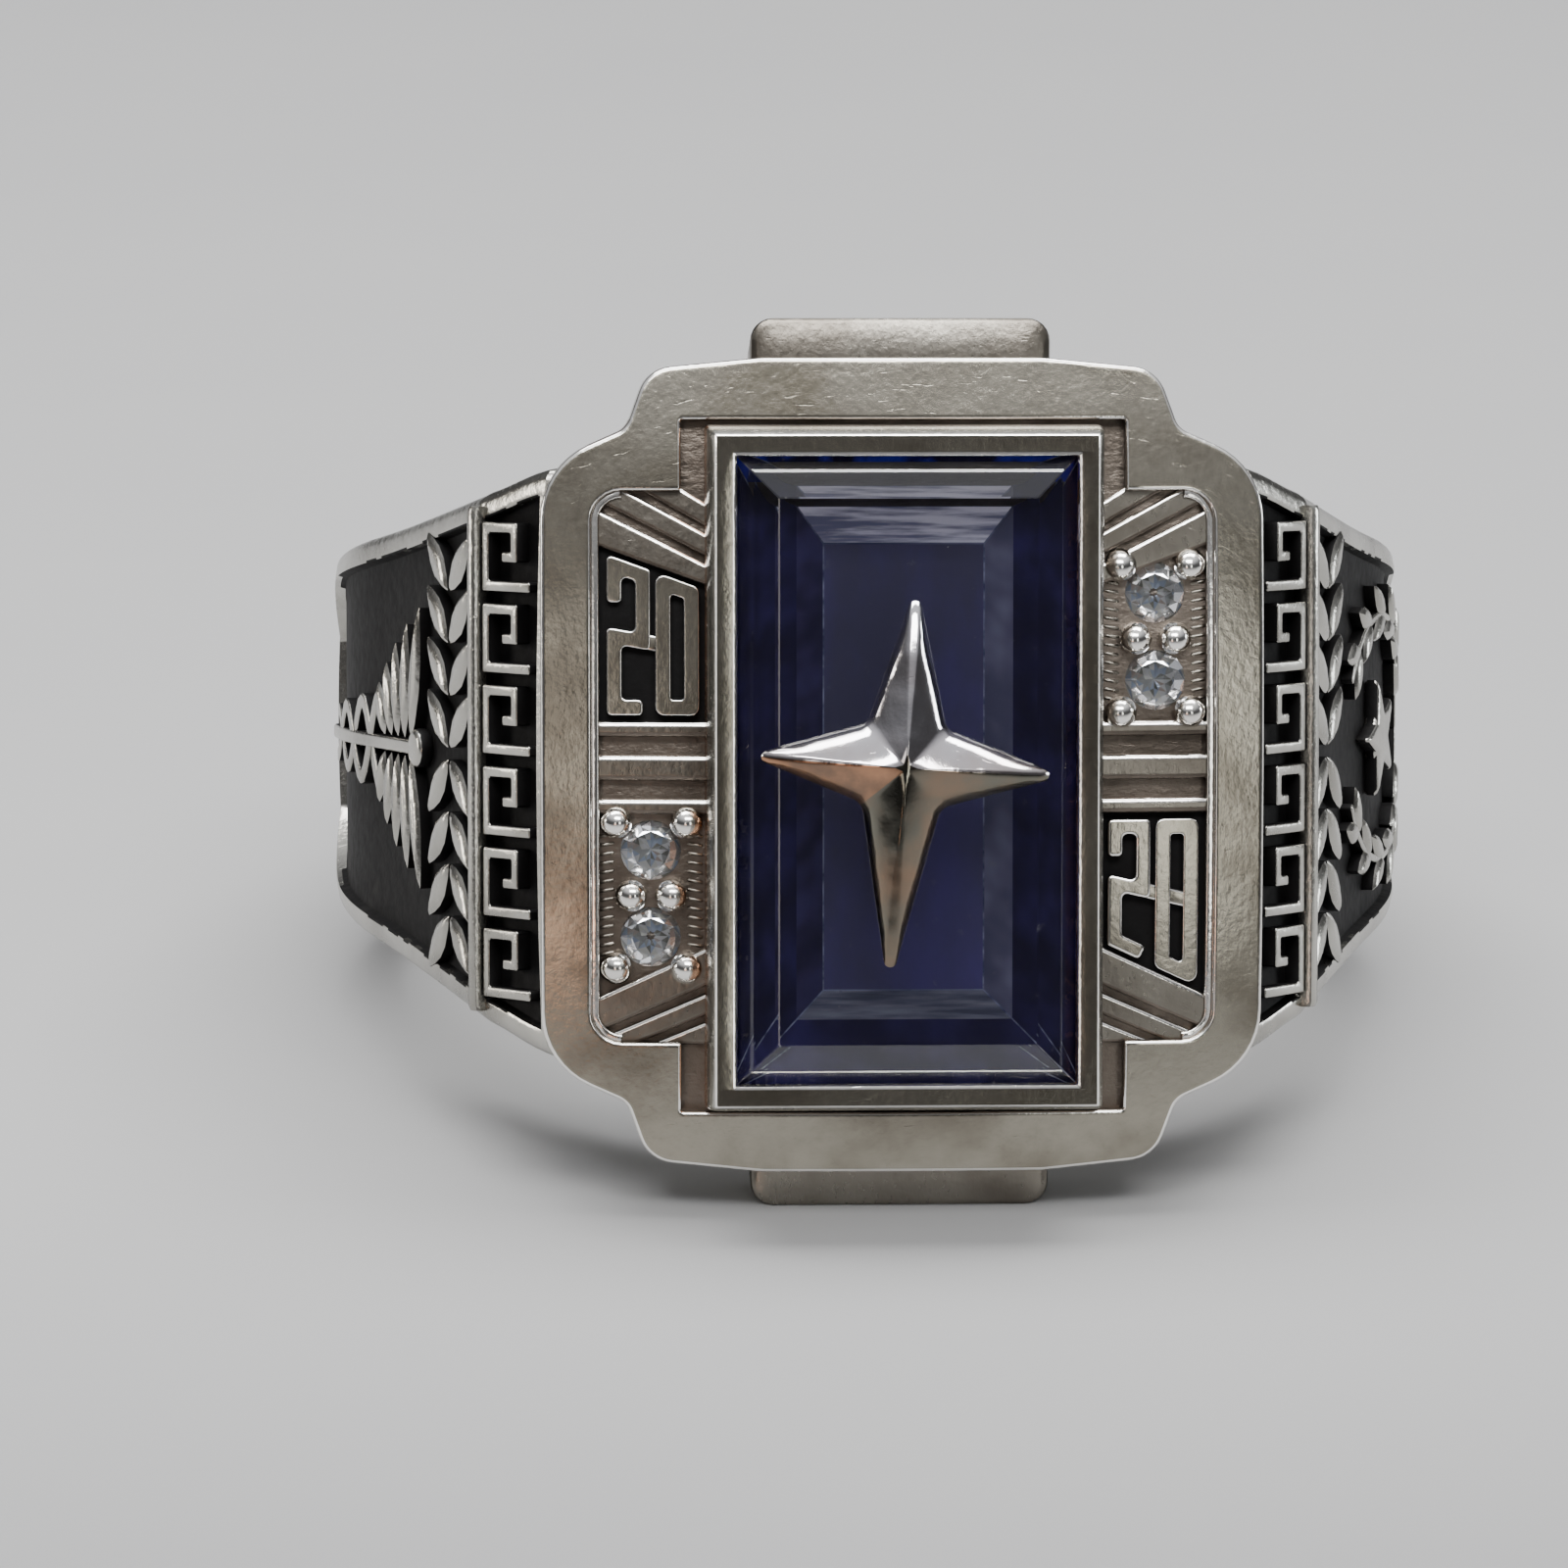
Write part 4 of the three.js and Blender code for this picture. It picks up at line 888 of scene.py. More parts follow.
def winged_staff():
    """A staff with a knob, two wings and two crossing serpents, on the left shoulder."""
    unit = EMBLEM_LENGTH / 7
    foot = EMBLEM_START + EMBLEM_LENGTH
    staff = [Vector((EMBLEM_START + unit * (0.4 + 1.1 * i), 0)) for i in range(7)]
    size = 0.42 * unit
    knob = []
    for k in range(16):
        turn = k * math.pi / 8
        knob.append(Vector((EMBLEM_START + size * (1 + math.cos(turn)), size * math.sin(turn))))
    pieces = [raised("staff", stroke(staff, 0.3), SHOULDER_DEPTH * 0.88), raised("knob", knob, edge=0.14)]
    for wing in (-1, 1):
        for i in range(5):
            feather = leaf((2.9 - i * 0.42) * unit, 0.52)
            root = EMBLEM_START + unit * (0.75 + i * 0.42)
            pieces.append(copied(feather, wing * math.radians(100 - i * 7), (root, wing * 0.16, 0)))
            bpy.data.objects.remove(feather)
        serpent = []
        for i in range(SERPENT_STEPS + 1):
            share = i / SERPENT_STEPS
            swing = wing * unit * (1 - 0.5 * share) * math.cos(share * 3 * math.pi)
            serpent.append(Vector((foot - unit * (3.6 * (1 - share) + 0.6), swing)))
        height = SHOULDER_DEPTH * (0.72 if wing < 0 else 0.8)
        pieces.append(raised("serpent", stroke(serpent, 0.3), height, 0.08))
    return lay_on(blacken_sides(joined("winged_staff", pieces)), -1)


def laurel_star():
    """Two laurel branches round a five-pointed star, on the right shoulder."""
    centre = EMBLEM_START + EMBLEM_LENGTH / 2
    long, short = EMBLEM_LENGTH * 0.45, EMBLEM_LENGTH * 0.38
    on_branch = lambda turn: Vector((centre + long * math.cos(turn), short * math.sin(turn)))
    spikes = []
    for k in range(10):
        reach = EMBLEM_LENGTH * (0.08 if k % 2 else 0.2)
        turn = math.pi + k * math.pi / 5
        spikes.append(Vector((centre + reach * math.cos(turn), reach * math.sin(turn))))
    pieces = [raised("star", spikes, edge=0.12)]
    first = leaf(1.1, 0.46)
    for branch in (-1, 1):
        stem = [on_branch(branch * math.radians(150) * k / 16) for k in range(17)]
        pieces.append(raised("stem", stroke(stem, 0.18), SHOULDER_DEPTH * 0.8, 0.05))
        for i in range(6):
            degrees = 16 + i * 23
            root = on_branch(branch * math.radians(degrees))
            for lean in (-32, 32):
                pieces.append(copied(first, branch * math.radians(degrees + 90 + lean), (*root, 0)))
    bpy.data.objects.remove(first)
    return lay_on(blacken_sides(joined("laurel_star", pieces)), 1)


# The head

FRAME_QUARTER = [
    (1.0 * FRAME_X, 0.73 * FRAME_Y, 1.6),
    (0.764 * FRAME_X, 0.822 * FRAME_Y, 0.45),
    (0.705 * FRAME_X, 0.967 * FRAME_Y, 0.75),
    (0.39 * FRAME_X, 0.994 * FRAME_Y, 2.0),
]
FRAME_OUTLINE = round_corners(mirrored(FRAME_QUARTER), 8)


def recess_outline(grow=0.0):
    """The opening in the frame: the panels, and the slot round the bezel."""
    panel_x, panel_y, slot_x, slot_y = (size + grow for size in (PANEL_X, PANEL_Y, SLOT_X, SLOT_Y))
    quarter = [(panel_x, panel_y, PANEL_CORNER), (slot_x, panel_y, 0.0), (slot_x, slot_y, 0.06)]
    return round_corners(mirrored(quarter), 6)


def head_frame():
    """The flat frame round the panels, with polished edges and brown walls inside."""
    piece = slab("head_frame", FRAME_OUTLINE, PLATE_BOTTOM, FACE)
    cut(piece, slab("recess", recess_outline(), PLATE_BOTTOM - 1, FACE + 1))
    flat_top(soften(piece, 0.12, 3), 0.05)
    dress(piece, SATIN)
    paint(piece, POLISHED, lambda centre, normal: 0.05 < normal.z < 0.995)
    paint(piece, CAST, lambda centre, normal: normal.z < 0.05)
    inside = lambda centre: abs(centre.x) < PANEL_X + 0.05 and abs(centre.y) < SLOT_Y + 0.05
    paint(piece, HOLLOW_AND_SHADE, lambda centre, normal: abs(normal.z) < 0.05 and inside(centre))
    return settle(on_dome(piece))


# Levels of the gallery: the share of the way up to the frame, and its size as shares of the frame's
GALLERY_LEVELS = [
    (-0.85, 0.9, 0.62),
    (-0.1, 0.93, 0.76),
    (0.2, 0.94, 0.82),
    (0.55, 0.95, 0.9),
    (0.8, 0.95, 0.935),
    (0.99, 0.95, 0.95),
]


def gallery():
    """The solid wall under the frame, down to the finger."""
    rise = PLATE_BOTTOM - FINGER_RADIUS
    sections = []
    for up, across, along in GALLERY_LEVELS:
        z = FINGER_RADIUS + rise * up
        section = []
        for point in FRAME_OUTLINE:
            x, y = point.x * across, point.y * along
            height = max(z, math.sqrt(max(0.0, (FINGER_RADIUS + 0.02) ** 2 - x * x)))
            section.append(Vector((x, y, height)))
        sections.append(section)
    return settle(dress(rolled("gallery", sections), CAST))


TAB_EDGE = 0.07


def end_tab(end):
    """The block at one end of the head, cut off at the slant on which the ring rests."""
    reach_at = lambda z: TAB_END - (PLATE_BOTTOM - z) * DRAFT
    flat_end = PLATE_BOTTOM - TAB_DEPTH
    half = TAB_WIDTH / 2

    def ring(z, reach, inset):
        x = half - inset
        start = SLOT_Y - 0.3
        corners = [(-x, start, 0), (x, start, 0), (x, reach, TAB_CORNER), (-x, reach, TAB_CORNER)]
        return at_height([(x, y * end) for x, y in round_corners(corners, 6)], z)

    top = reach_at(PLATE_BOTTOM)
    sections = [
        ring(FINGER_RADIUS + 0.3, reach_at(flat_end) - 2.2, 0.7),
        ring(flat_end - TAB_EDGE, reach_at(flat_end) - TAB_EDGE * 1.6, 0.05),
        ring(flat_end, reach_at(flat_end), 0),
        ring(PLATE_BOTTOM - TAB_EDGE, reach_at(PLATE_BOTTOM - TAB_EDGE), 0),
        ring(PLATE_BOTTOM, top - TAB_EDGE * 0.4, TAB_EDGE * 0.4),
        ring(PLATE_BOTTOM + TAB_EDGE * 0.7, top - TAB_EDGE * 1.6, TAB_EDGE * 1.6),
        ring(PLATE_BOTTOM + TAB_EDGE, top - 1.1, 0.2),
    ]
    name = "end_tab_upper" if end > 0 else "end_tab_lower"
    return settle(dress(rolled(name, sections), STEP), sharp=30)


def bezel():
    """The box that holds the stone: a wall round it with a narrow flat rim."""
    inner = STONE_X - BEZEL_LIP, STONE_Y - BEZEL_LIP
    outer = BEZEL_X, BEZEL_Y
    # Each row: the rectangle, how far it grows, its height and its corner radius
    profile = [
        (outer, 0.10, PLATE_BOTTOM + 0.2, 0.10),
        (outer, 0.10, FIELD, 0.10),
        (outer, 0.08, FACE - 0.05, 0.10),
        (outer, 0.04, BEZEL_TOP - 0.34, 0.10),
        (outer, 0.02, BEZEL_TOP - 0.28, 0.10),
        (outer, -0.05, BEZEL_TOP - 0.04, 0.08),
        (outer, -0.09, BEZEL_TOP, 0.08),
        (inner, 0.09, BEZEL_TOP, 0.03),
        (inner, 0.03, BEZEL_TOP - 0.02, 0.03),
        (inner, 0.01, BEZEL_TOP - 0.06, 0.03),
        (inner, 0.0, BEZEL_TOP - 0.2, 0.03),
        (inner, 0.0, GIRDLE + 0.06, 0.03),
        (inner, 0.14, GIRDLE - 0.3, 0.03),
        (inner, -0.9, GIRDLE - 1.3, 0.03),
        (inner, -1.2, PLATE_BOTTOM + 0.2, 0.03),
    ]
    sections = []
    for (x, y), grow, z, corner in profile:
        outline = box_outline(x + grow, y + grow, max(0.02, corner + min(0.0, grow)), 3)
        sections.append(at_height(outline, z))
    piece = rolled("bezel", sections, closed=True)
    sliced(piece, 1, grid_places(BEZEL_Y, 0.9))
    dress(piece, SATIN)
    paint(piece, CAST, lambda centre, normal: centre.z < BEZEL_TOP - 0.05)
    paint(piece, HOLLOW_AND_SHADE, lambda centre, normal: centre.z < FACE - 0.05)
    paint(piece, POLISHED, lambda centre, normal: centre.z > BEZEL_TOP - 0.06 and normal.z < 0.98)
    # Painted warm reflection: the walls that face left take a copper colour, as if lit by the warm light
    # there.
    warm_reflection_below = lambda centre: BEZEL_TOP - 0.05 if centre.x > 0 else FACE
    paint(piece, PAINTED_WARM_REFLECTION, lambda centre, normal: normal.x < -0.5 and centre.z < warm_reflection_below(centre))
    return settle(piece)


def stone_seat():
    """The dark cup under the stone."""
    piece = slab("stone_seat", box_outline(STONE_X - 0.6, STONE_Y - 0.6), PLATE_BOTTOM - 0.4, GIRDLE - 2.22)
    with editing(piece):
        bpy.ops.mesh.subdivide(number_cuts=3)
    return settle(dress(piece, HOLLOW_AND_SHADE))


# Side panels

BAR_HALF = 0.25
BAR_GROOVE = 0.37
BAR_OUTER = 0.3
BAR_EDGE = BAR_HALF + BAR_GROOVE + BAR_OUTER
FIELD_MARGIN = 0.12
FIELD_START = BAR_EDGE + FIELD_MARGIN / 2
FIELD_INNER = BEZEL_X + FIELD_MARGIN
FIELD_OUTER = PANEL_X - FIELD_MARGIN - 0.08
DIGIT_STROKE = 0.3
DIGIT_GAP = 0.1

# Rays past each field: the place of a line where it meets the bezel, and its rise for each unit across. The
# fan below the stone's middle opens less than the one above it.
RAYS_ABOVE = [(3.6, 0.36), (4.0, 0.5), (4.16, 0.51), (4.6, 0.54), (4.74, 0.56), (5.2, 0.6)]
RAYS_BELOW = [(3.56, 0.47), (4.32, 0.44), (4.48, 0.44), (4.92, 0.42), (5.06, 0.42), (5.5, 0.42)]
QUARTERS = {
    "upper_left": (-1, 1, "20"),
    "upper_right": (1, 1, ""),
    "lower_left": (-1, -1, ""),
    "lower_right": (1, -1, "28"),
}
BORDER = 0.15
FIELD_LAYER = 0.02


def ray_at(line, x, sy=1):
    """How far from the middle a ray's line is at x."""
    place, slope = (RAYS_ABOVE if sy > 0 else RAYS_BELOW)[line]
    return place + slope * (x - BEZEL_X)


def in_quarter(points, sx, sy):
    """Points of the upper right quarter, moved to another one."""
    return [Vector((point[0] * sx, point[1] * sy)) for point in points]


def clipped(outline, axis, limit):
    """The part of a convex outline below a limit on one axis."""
    kept = []
    for i, point in enumerate(outline):
        before = outline[i - 1]
        if (point[axis] <= limit) != (before[axis] <= limit):
            share = (limit - before[axis]) / (point[axis] - before[axis])
            kept.append(before.lerp(point, share))
        if point[axis] <= limit:
            kept.append(point)
    return kept


ACCENT_DIAMETER = 1.36
DRILL_RADIUS = 0.6
ACCENT_NODES = [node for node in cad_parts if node.startswith("accent_stone")]


def accent_place(node):
    """The middle of a small stone, in the head's frame."""
    low, high = (Vector(corner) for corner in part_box(node))
    return HEAD_TO_ROW.inverted() @ ((low + high) / 2)


def drill(piece):
    """Opens the seats of the small stones."""
    for node in ACCENT_NODES:
        middle = accent_place(node)
        turns = [k * math.pi / 12 for k in range(24)]
        rim = [middle.xy + Vector((math.cos(turn), math.sin(turn))) * DRILL_RADIUS for turn in turns]
        cut(piece, slab("drill", rim, FIELD - 0.7, FACE))
    return piece


def panel_bed():
    """The floor of the panels and of the slot round the bezel."""
    piece = slab("panel_bed", recess_outline(0.15), PLATE_BOTTOM + 0.1, FIELD)
    cut(piece, slab("stone_well", box_outline(BEZEL_X - 0.05, BEZEL_Y - 0.05), PLATE_BOTTOM - 1, FACE))
    drill(piece)
    dress(piece, HOLLOW_AND_SHADE)
    return settle(on_dome(piece))


def panel_bars():
    """Three bars between the fields on each side of the bezel."""
    inner, outer = BEZEL_X - 0.1, PANEL_X + 0.1
    start = BAR_HALF + BAR_GROOVE
    pieces = []
    for side in (-1, 1):
        for low, high in ((-BAR_HALF, BAR_HALF), (start, BAR_EDGE), (-BAR_EDGE, -start)):
            corners = [(inner, low), (outer, low), (outer, high), (inner, high)]
            pieces.append(slab("bar", in_quarter(corners, side, 1), FIELD - 0.2, RELIEF))
    return settle(on_dome(struck(flat_top(soften(joined("panel_bars", pieces), 0.1, 3)))))


def struck(piece):
    """Satin tops, polished edges that face up the head, and brown sides; the edges that face down the head
    are painted brown as painted shade.
    """
    dress(piece, STEP)
    paint(piece, POLISHED, lambda centre, normal: 0.1 < normal.z < 0.98)
    # Painted shade: the edges that face down the head take the brown of the hollows, so only the upward
    # ones stay polished.
    return paint(piece, HOLLOW_AND_SHADE, lambda centre, normal: normal.z < (0.98 if normal.y < -0.1 else 0.1))


def panel_borders():
    """The thin raised line between each panel and the frame."""
    whole = box_outline(PANEL_X + 0.05, PANEL_Y + 0.05, PANEL_CORNER, 6)
    inside = box_outline(PANEL_X - BORDER, PANEL_Y - BORDER, PANEL_CORNER - BORDER, 6)
    middle = box_outline(PANEL_X - PANEL_CORNER, PANEL_Y + 1)
    pieces = []
    for side in (-1, 1):
        other = in_quarter([(0, -9), (-9, -9), (-9, 9), (0, 9)], side, 1)
        piece = slab("border", whole, FIELD - 0.2, RELIEF + 0.06)
        for waste in (inside, middle, other):
            cut(piece, slab("waste", waste, FIELD - 1, FACE))
        pieces.append(piece)
    piece = dress(soften(joined("panel_borders", pieces), 0.09, 3), POLISHED)
    return settle(on_dome(paint(piece, HOLLOW_AND_SHADE, lambda centre, normal: normal.z < 0.1)))


def panel_rays():
    """The slanted steps that fan out past each field."""
    inner, outer = BEZEL_X - 0.1, PANEL_X + 0.1
    pieces = []
    for sx, sy, _ in QUARTERS.values():
        for line in range(0, len(RAYS_ABOVE), 2):
            outline = [
                Vector((inner, ray_at(line, inner, sy))),
                Vector((outer, ray_at(line, outer, sy))),
                Vector((outer, ray_at(line + 1, outer, sy))),
                Vector((inner, ray_at(line + 1, inner, sy))),
            ]
            outline = clipped(outline, 1, PANEL_Y + 0.05)
            if len(outline) > 2:
                pieces.append(slab("ray", in_quarter(outline, sx, sy), FIELD - 0.2, RELIEF - 0.02 * line))
    return settle(on_dome(struck(flat_top(soften(joined("panel_rays", pieces), 0.1, 3)))))


def field_floor(name, sx, sy, finish):
    """A thin layer on the floor of one field, in its own finish."""
    far = ray_at(0, PANEL_X, sy)
    outline = [(BEZEL_X, BAR_EDGE), (PANEL_X, BAR_EDGE), (PANEL_X, far), (BEZEL_X, ray_at(0, BEZEL_X, sy))]
    piece = drill(slab(name, in_quarter(outline, sx, sy), FIELD - 0.1, FIELD + FIELD_LAYER))
    return settle(on_dome(dress(piece, finish)))


# Each numeral: whether its line closes, and its corners as shares of its width and height
NUMERALS = {
    "2": (False, [(0, 0.74), (0, 1), (1, 1), (1, 0.5), (0, 0.5), (0, 0), (1, 0)]),
    "0": (True, [(0, 0), (1, 0), (1, 1), (0, 1)]),
    "8": (True, [(0, 0), (1, 0), (1, 1), (0, 1)]),
}


def numerals(name, sx, sy, text):
    """Two raised block numerals that fill a field and follow its slanted edge."""
    room = DIGIT_STROKE / 2 + 0.1
    line = lambda points: stroke(points, DIGIT_STROKE)
    width = (FIELD_OUTER - FIELD_INNER - 0.2 - DIGIT_GAP) / 2 - DIGIT_STROKE
    starts = [FIELD_INNER + room, FIELD_INNER + room + width + DIGIT_STROKE + DIGIT_GAP]
    order = starts if sx > 0 else starts[::-1]
    low, high = FIELD - 0.1, RELIEF - 0.02
    pieces, links = [], []
    for digit, start, near in zip(text, order, (1, 0)):
        closed, path = NUMERALS[digit]

        def place(u, t):
            x = start + width * (u if sx > 0 else 1 - u)
            bottom, top = FIELD_START + room - 0.03, ray_at(0, x, sy) - room * 1.05
            share = t if sy > 0 else 1 - t
            return Vector((x * sx, (bottom + (top - bottom) * share) * sy))

        points = [place(u, t) for u, t in path]
        if closed:
            rims = sorted(stroke(points, DIGIT_STROKE, True), key=lambda rim: abs(area(rim)))
            piece = slab("digit", round_corners(with_radius(rims[1], 0.17), 4), low, high)
            cut(piece, slab("hole", round_corners(with_radius(rims[0], 0.06), 3), low - 1, high + 1))
        else:
            piece = slab("digit", round_corners(with_radius(line(points), 0.09), 3), low, high)
        pieces.append(flat_top(soften(piece, 0.05, 3)))
        if digit == "8":
            bar = slab("bar", line([place(-0.05, 0.5), place(1.05, 0.5)]), low, high - 0.015)
            pieces.append(soften(bar, 0.04, 2))
        links.append(place(near, 0.5))
    pieces.append(soften(slab("link", line(links), low, high - 0.03), 0.04, 2))
    piece = joined(name, pieces)
    dress(piece, SATIN)
    paint(piece, POLISHED, lambda centre, normal: 0.3 < normal.z < 0.98)
    paint(piece, BLACK, lambda centre, normal: abs(normal.z) < 0.3)
    return settle(on_dome(piece))


def area(outline):
    """The area inside an outline, negative where it runs clockwise."""
    return sum(a.x * b.y - a.y * b.x for a, b in pairs(outline)) / 2


ACCENT_SPACING = 1.74
ACCENT_X = (BEZEL_X + PANEL_X) / 2
ACCENT_Y = FIELD_START + 2.65 / 2 + 0.42 * (ACCENT_X - BEZEL_X) * 0.5
BEAD_RADIUS = 0.33
BEAD_LIFT = 0.18
BEAD_STRETCH = 1.15
NOTCHES = 16


def bead_setting(name, sx, sy):
    """Beads round a pair of stones and the bright-cut notches on both sides of it."""
    pieces = []
    for offset, spread in ((ACCENT_SPACING * 0.84, 0.7), (0.0, 0.4), (-ACCENT_SPACING * 0.84, 0.7)):
        for side in (-1, 1):
            middle = ((ACCENT_X + side * spread) * sx, (ACCENT_Y + offset) * sy, FIELD + BEAD_LIFT)
            bead = started(
                bpy.ops.mesh.primitive_uv_sphere_add,
                segments=20,
                ring_count=12,
                radius=BEAD_RADIUS,
                location=middle,
            )
            bpy.ops.object.transform_apply(location=True, rotation=True, scale=True)
            with editing(bead):
                bpy.ops.transform.resize(value=(1, 1, BEAD_STRETCH), center_override=middle)
            pieces.append(bead)
    for side in (-1, 1):
        for k in range(NOTCHES):
            y = FIELD_START + 0.1 + (ray_at(0, ACCENT_X, sy) - FIELD_START - 0.2) * (k + 0.5) / NOTCHES
            x = ACCENT_X + side * 0.88
            tooth = stroke([Vector((x - 0.17, y - 0.03 * side)), Vector((x + 0.17, y + 0.03 * side))], 0.09)
            pieces.append(slab("tooth", in_quarter(tooth, sx, sy), FIELD - 0.1, FIELD + 0.05))
            soften(pieces[-1], 0.04, 1)
    piece = joined(name, pieces)
    dress(piece, CAST)
    paint(piece, POLISHED, lambda centre, normal: centre.z > FIELD + 0.06)
    paint(piece, STEP, lambda centre, normal: centre.z < FIELD + 0.055)
    return settle(bent(piece, domed), sharp=50)


# Star and stones

STAR_ARMS = [2.9, 3.3, 2.85, 4.05]
STAR_PLACE = Vector((-0.1, 0.14))
STAR_WAIST = 0.78
STAR_TURN = math.radians(-4)
STAR_BASE = TABLE + 0.03
STAR_TIP = 0.13

# The star's section, from its foot to its top: the share of its outline, and the height over its foot
STAR_PROFILE = [
    (0.97, 0.0),
    (1.0, 0.03),
    (1.0, 0.12),
    (0.975, 0.2),
    (0.93, 0.28),
    (0.86, 0.37),
    (0.76, 0.46),
    (0.62, 0.56),
    (0.44, 0.67),
    (0.24, 0.78),
    (0.08, 0.84),
]


def star_emblem():
    """A four-pointed star with blunt tips and full, rounded facets that meet on ridges."""
    corners = []
    for i, arm in enumerate(STAR_ARMS):
        turn = i * math.pi / 2 + STAR_TURN
        along = Vector((math.cos(turn), math.sin(turn)))
        aside = Vector((-along.y, along.x))
        half = math.atan2(STAR_WAIST, arm - STAR_WAIST)
        tip = along * (arm + STAR_TIP / math.sin(half) - STAR_TIP)
        waist = (along + aside) * STAR_WAIST
        corners += [(*tip, STAR_TIP), (*waist, 0.35)]
    outline = []
    for a, b in pairs(round_corners(corners, 6)):
        count = max(1, round((b - a).length / 0.3))
        outline += [a.lerp(b, k / count) for k in range(count)]
    sections = []
    for share, lift in STAR_PROFILE:
        sections.append(at_height([STAR_PLACE + point * share for point in outline], STAR_BASE + lift))
    piece = rolled("star", sections)
    dress(piece, STAR_METAL)

    def turn(centre):
        off = centre.xy - STAR_PLACE
        return (math.atan2(off.y, off.x) - STAR_TURN) % math.tau

    # Painted shade on the lower half of the star, and a painted warm reflection on its lower left.
    paint(piece, STAR_SHADE, lambda centre, normal: turn(centre) > math.pi)
    paint(piece, STAR_PAINTED_WARM_REFLECTION, lambda centre, normal: math.pi < turn(centre) < math.pi * 1.25)
    paint(piece, POLISHED, lambda centre, normal: centre.z < STAR_BASE + 0.15)
    return settle(piece, "star_emblem", sharp=28)


def pairs(outline):
    """Each point of a closed outline with the next."""
    return zip(outline, outline[1:] + outline[:1])


# The steps of the main stone: insets from its outline, rises over its girdle, and shifts of its upper side
STONE_STEPS = [
    (1.85, -2.1, 0),
    (1.3, -1.52, 0.2),
    (0, -0.18, 0),
    (0, 0, 0),
    (0.42, 0.384, 0),
    (0.9, 0.62, 0),
]


def center_stone():
    """A step-cut rectangle: a clear tinted crown over facets that show through it, which are painted with
    the reflections and shade seen on them.
    """
    sections = []
    for inset, rise, shift in STONE_STEPS:
        outline = box_outline(STONE_X - inset, STONE_Y - inset)
        shifted = [(x, y + (shift if y > 0 else 0)) for x, y in outline]
        sections.append(at_height(shifted, GIRDLE + rise))
    piece = soften(rolled("stone", sections), 0.018, 1, 5)
    dress(piece, CROWN)
    under = lambda centre: centre.z < GIRDLE - 0.2
    lower = lambda centre: centre.z < GIRDLE - 1.2
    # The facets are painted by where they face: painted shade on those that face left, painted reflections
    # on those that face right and up the head, and painted highlights on the narrow edges.
    paint(piece, DEEP, lambda centre, normal: under(centre))
    paint(piece, RING, lambda centre, normal: under(centre) and not lower(centre))
    paint(piece, PAINTED_BLUE_LIGHT, lambda centre, normal: under(centre) and normal.y > 0.3)
    paint(piece, SHADED_LEFT_FACET, lambda centre, normal: lower(centre) and normal.x < -0.3)
    paint(piece, LIT_RIGHT_FACET, lambda centre, normal: lower(centre) and normal.x > 0.3)
    paint(piece, BACK_LOW, lambda centre, normal: lower(centre) and normal.y < -0.3)
    paint(piece, PAINTED_REFLECTION, lambda centre, normal: lower(centre) and normal.y > 0.3)
    piece.data.materials.append(EDGE_HIGHLIGHT)
    for face in piece.data.polygons:
        if under(face.center) and face.area < 0.5 and not face.normal.z < -0.99:
            face.material_index = len(piece.data.materials) - 1
    return settle(piece, "center_stone", sharp=5)


# Rings of the small stones, as shares of their radius: the reach of even and odd corners, and their heights
BRILLIANT_RINGS = [
    (0.02, 0.02, -0.62, -0.62),
    (0.26, 0.34, -0.50, -0.40),
    (0.52, 0.62, -0.30, -0.20),
    (0.80, 0.74, -0.16, -0.12),
    (1.0, 1.0, -0.02, -0.02),
    (1.0, 1.0, 0.03, 0.03),
    (0.86, 0.74, 0.13, 0.19),
    (0.56, 0.60, 0.30, 0.27),
]


def brilliant(node):
    """A round brilliant: a table, a crown of kites and triangles, and a pointed underside."""
    middle = accent_place(node)
    radius = ACCENT_DIAMETER / 2
    sections = []
    for even, odd, even_z, odd_z in BRILLIANT_RINGS:
        section = []
        for k in range(16):
            turn = k * math.pi / 8
            reach, z = (odd, odd_z) if k % 2 else (even, even_z)
            section.append(middle + Vector((reach * math.cos(turn), reach * math.sin(turn), z)) * radius)
        sections.append(section)
    piece = rolled(node.replace("accent_stone", "brilliant"), sections)
    with editing(piece):
        bpy.ops.mesh.quads_convert_to_tris()
    dress(piece, CLEAR)
    for finish in PAINTED_GLINTS + [FLASH]:
        piece.data.materials.append(finish)
    # Painted glints: the underside's facets take the tints in turn, and some crown facets become mirrors.
    for face in piece.data.polygons:
        if face.normal.z < -0.1:
            face.material_index = 1 + (face.index * face.index + face.index // 5) % len(PAINTED_GLINTS)
        elif 0.1 < face.normal.z < 0.97 and face.index % 5 < 2:
            face.material_index = 1 + len(PAINTED_GLINTS)
    return settle(piece, node, sharp=1)


# Stage


def stage():
    """The table under the ring."""
    table = started(bpy.ops.mesh.primitive_grid_add, x_subdivisions=8, y_subdivisions=8, size=1.6)
    table.name = "table"
    table.location = (0, 0.3, 0)
    table.data.materials.append(pale_table())


def softbox(name, place, size, power, colour=(1, 1, 1)):
    """A soft light at a place in millimetres, which faces the ring."""
    light = bpy.data.lights.new(name, "AREA")
    light.shape = "RECTANGLE"
    light.size, light.size_y = (side * MM for side in size)
    light.energy = power
    light.color = colour
    lamp = bpy.data.objects.new(name, light)
    bpy.context.scene.collection.objects.link(lamp)
    lamp.visible_camera = False
    lamp.location = Vector(place) * MM
    aim = Vector((0, 0, 8)) - Vector(place)
    lamp.rotation_euler = aim.to_track_quat("-Z", "Y").to_euler()


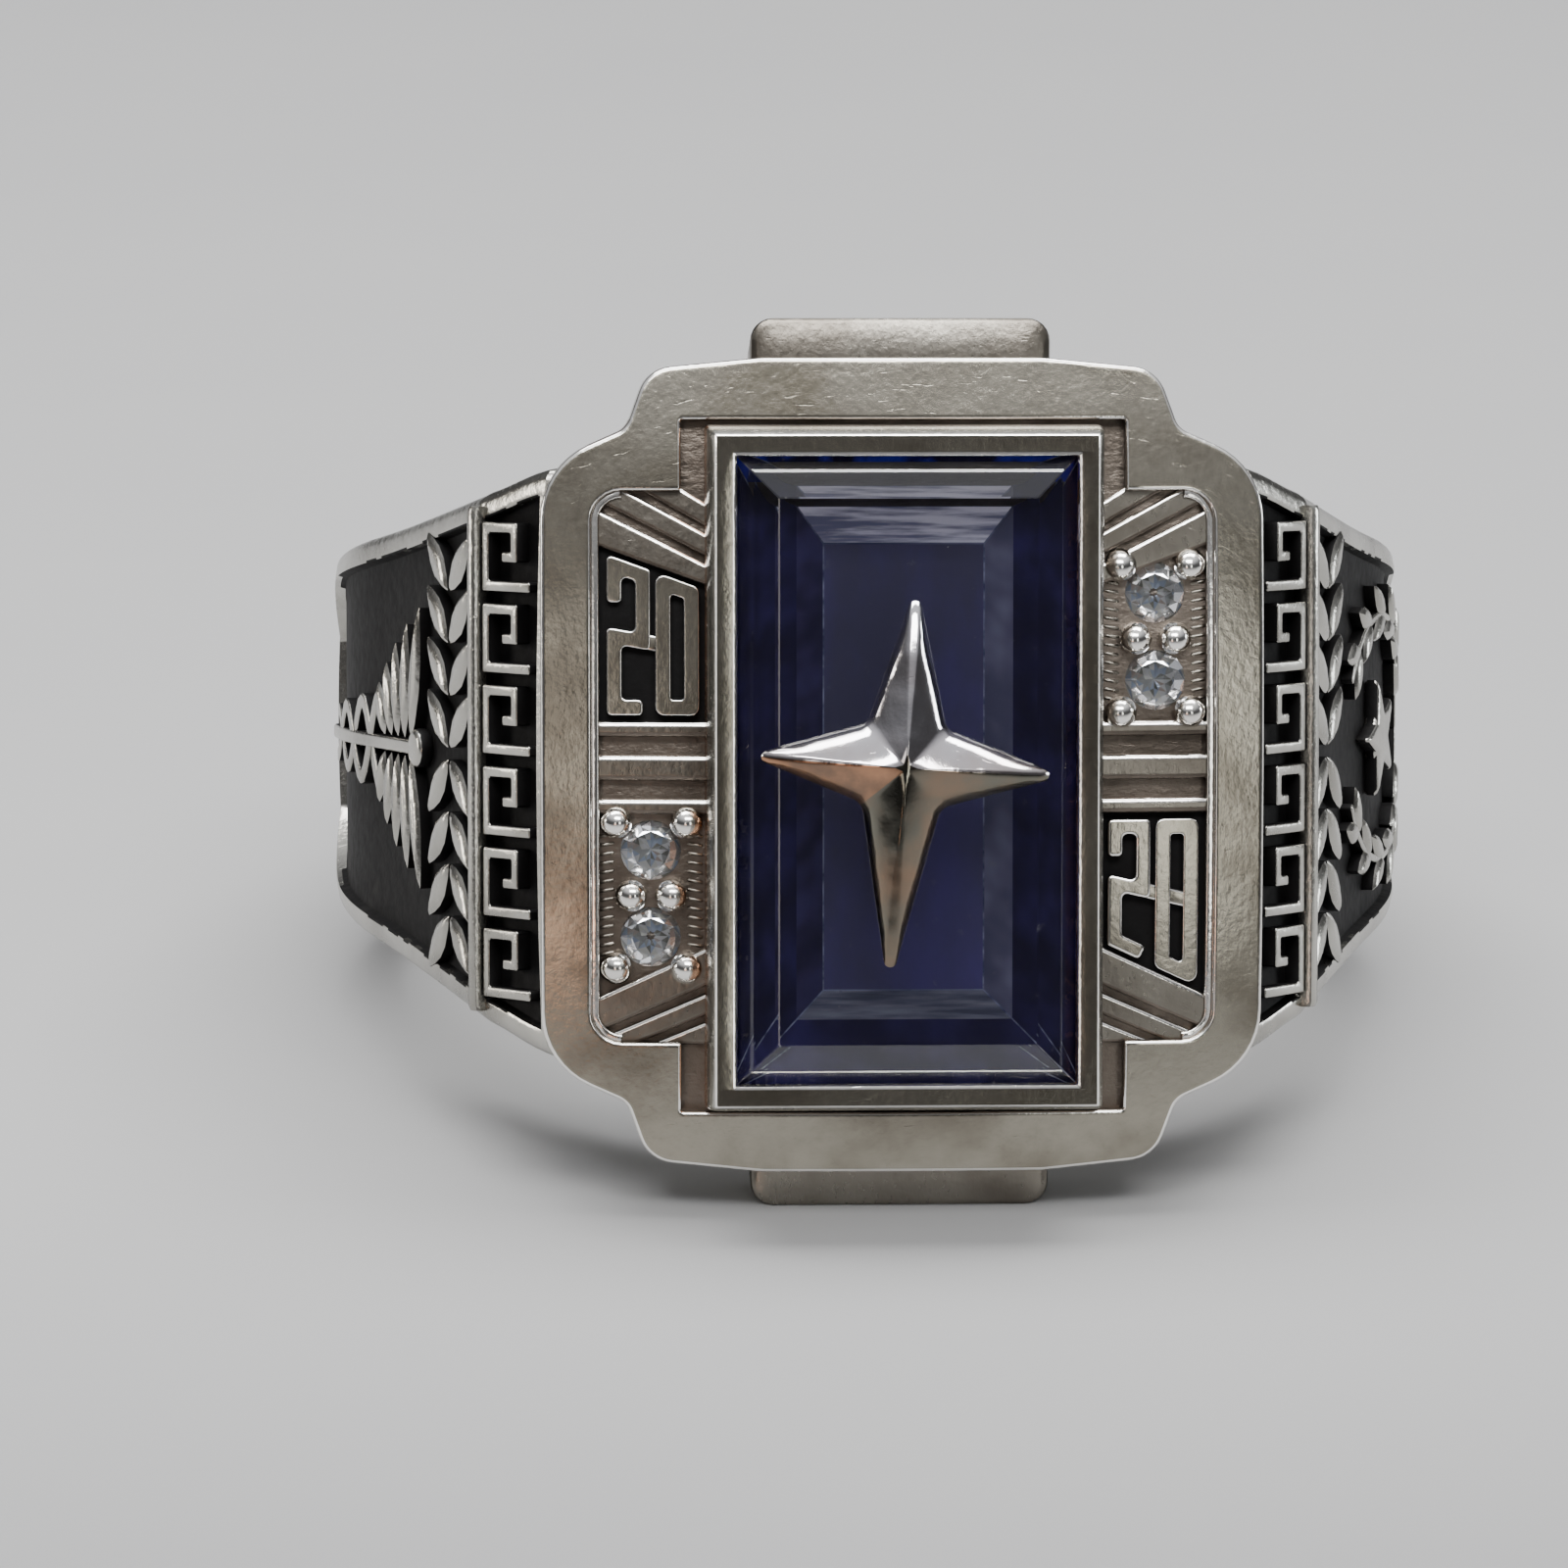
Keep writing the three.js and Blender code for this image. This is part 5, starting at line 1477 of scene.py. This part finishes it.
def studio():
    """A pale room, with soft lights above and at the sides."""
    world = bpy.data.worlds.new("studio")
    bpy.context.scene.world = world
    world.use_nodes = True
    room = Nodes(world.node_tree, "Generated")
    height = room.axis(2).between(0.2, 0.95)
    background = world.node_tree.nodes["Background"]
    room.feed(background.inputs["Color"], room.mix(height, (0.12, 0.12, 0.125), (1.6, 1.62, 1.68)))
    background.inputs["Strength"].default_value = 0.6
    softbox("softbox_front", (0, -150, 200), (200, 70), 0.7)
    softbox("strip_above", (0, 48, 250), (320, 100), 1.7)
    softbox("strip_left", (-400, 70, 62), (110, 100), 0.42, (1.0, 0.95, 0.88))
    softbox("strip_right", (400, 70, 62), (110, 100), 0.48, (0.93, 0.97, 1.0))
    softbox("card_left", (-95, -260, 55), (40, 90), 0.022, (1.0, 0.93, 0.86))
    softbox("card_right", (95, -260, 55), (40, 90), 0.042, (1.0, 1.0, 0.96))
    softbox("warm_card", (-60, -170, 8), (40, 12), 0.004, (1.0, 0.5, 0.28))


def photographer():
    """The camera at the photograph's distance and angle."""
    level = math.cos(CAMERA_ELEVATION)
    sine, cosine = math.sin(CAMERA_AZIMUTH), math.cos(CAMERA_AZIMUTH)
    towards = Vector((-sine * level, math.sin(CAMERA_ELEVATION), cosine * level))
    right = Vector((0, 1, 0)).cross(towards).normalized()
    up = towards.cross(right)
    place = towards * CAMERA_DISTANCE - right * CAMERA_ASIDE.x - up * CAMERA_ASIDE.y
    lens = bpy.data.cameras.new("camera")
    lens.lens = CAMERA_LENS
    lens.sensor_width = 36.0
    lens.clip_start = 0.001
    camera = bpy.data.objects.new("camera", lens)
    bpy.context.scene.collection.objects.link(camera)
    turn = Matrix((right, up, towards)).transposed().to_4x4()
    camera.matrix_world = Matrix.Translation(HEAD_TO_ROW @ place) @ LAY_DOWN @ turn
    bpy.context.scene.camera = camera


photographer()
stage()
studio()

band()
for side in (-1, 1):
    rib(side)
    key_band(side)
    leaf_band(side)
winged_staff()
laurel_star()
gallery()
head_frame()
for end in (-1, 1):
    end_tab(end)
bezel()
stone_seat()
panel_bed()
panel_bars()
panel_rays()
panel_borders()
for quarter, (side, end, text) in QUARTERS.items():
    if text:
        field_floor("enamel_" + quarter, side, end, BLACK)
        numerals("numerals_" + quarter, side, end, text)
    else:
        field_floor("stone_field_" + quarter, side, end, HOLLOW_AND_SHADE)
        bead_setting("bead_setting_" + quarter, side, end)
star_emblem()
center_stone()
for node in ACCENT_NODES:
    brilliant(node)
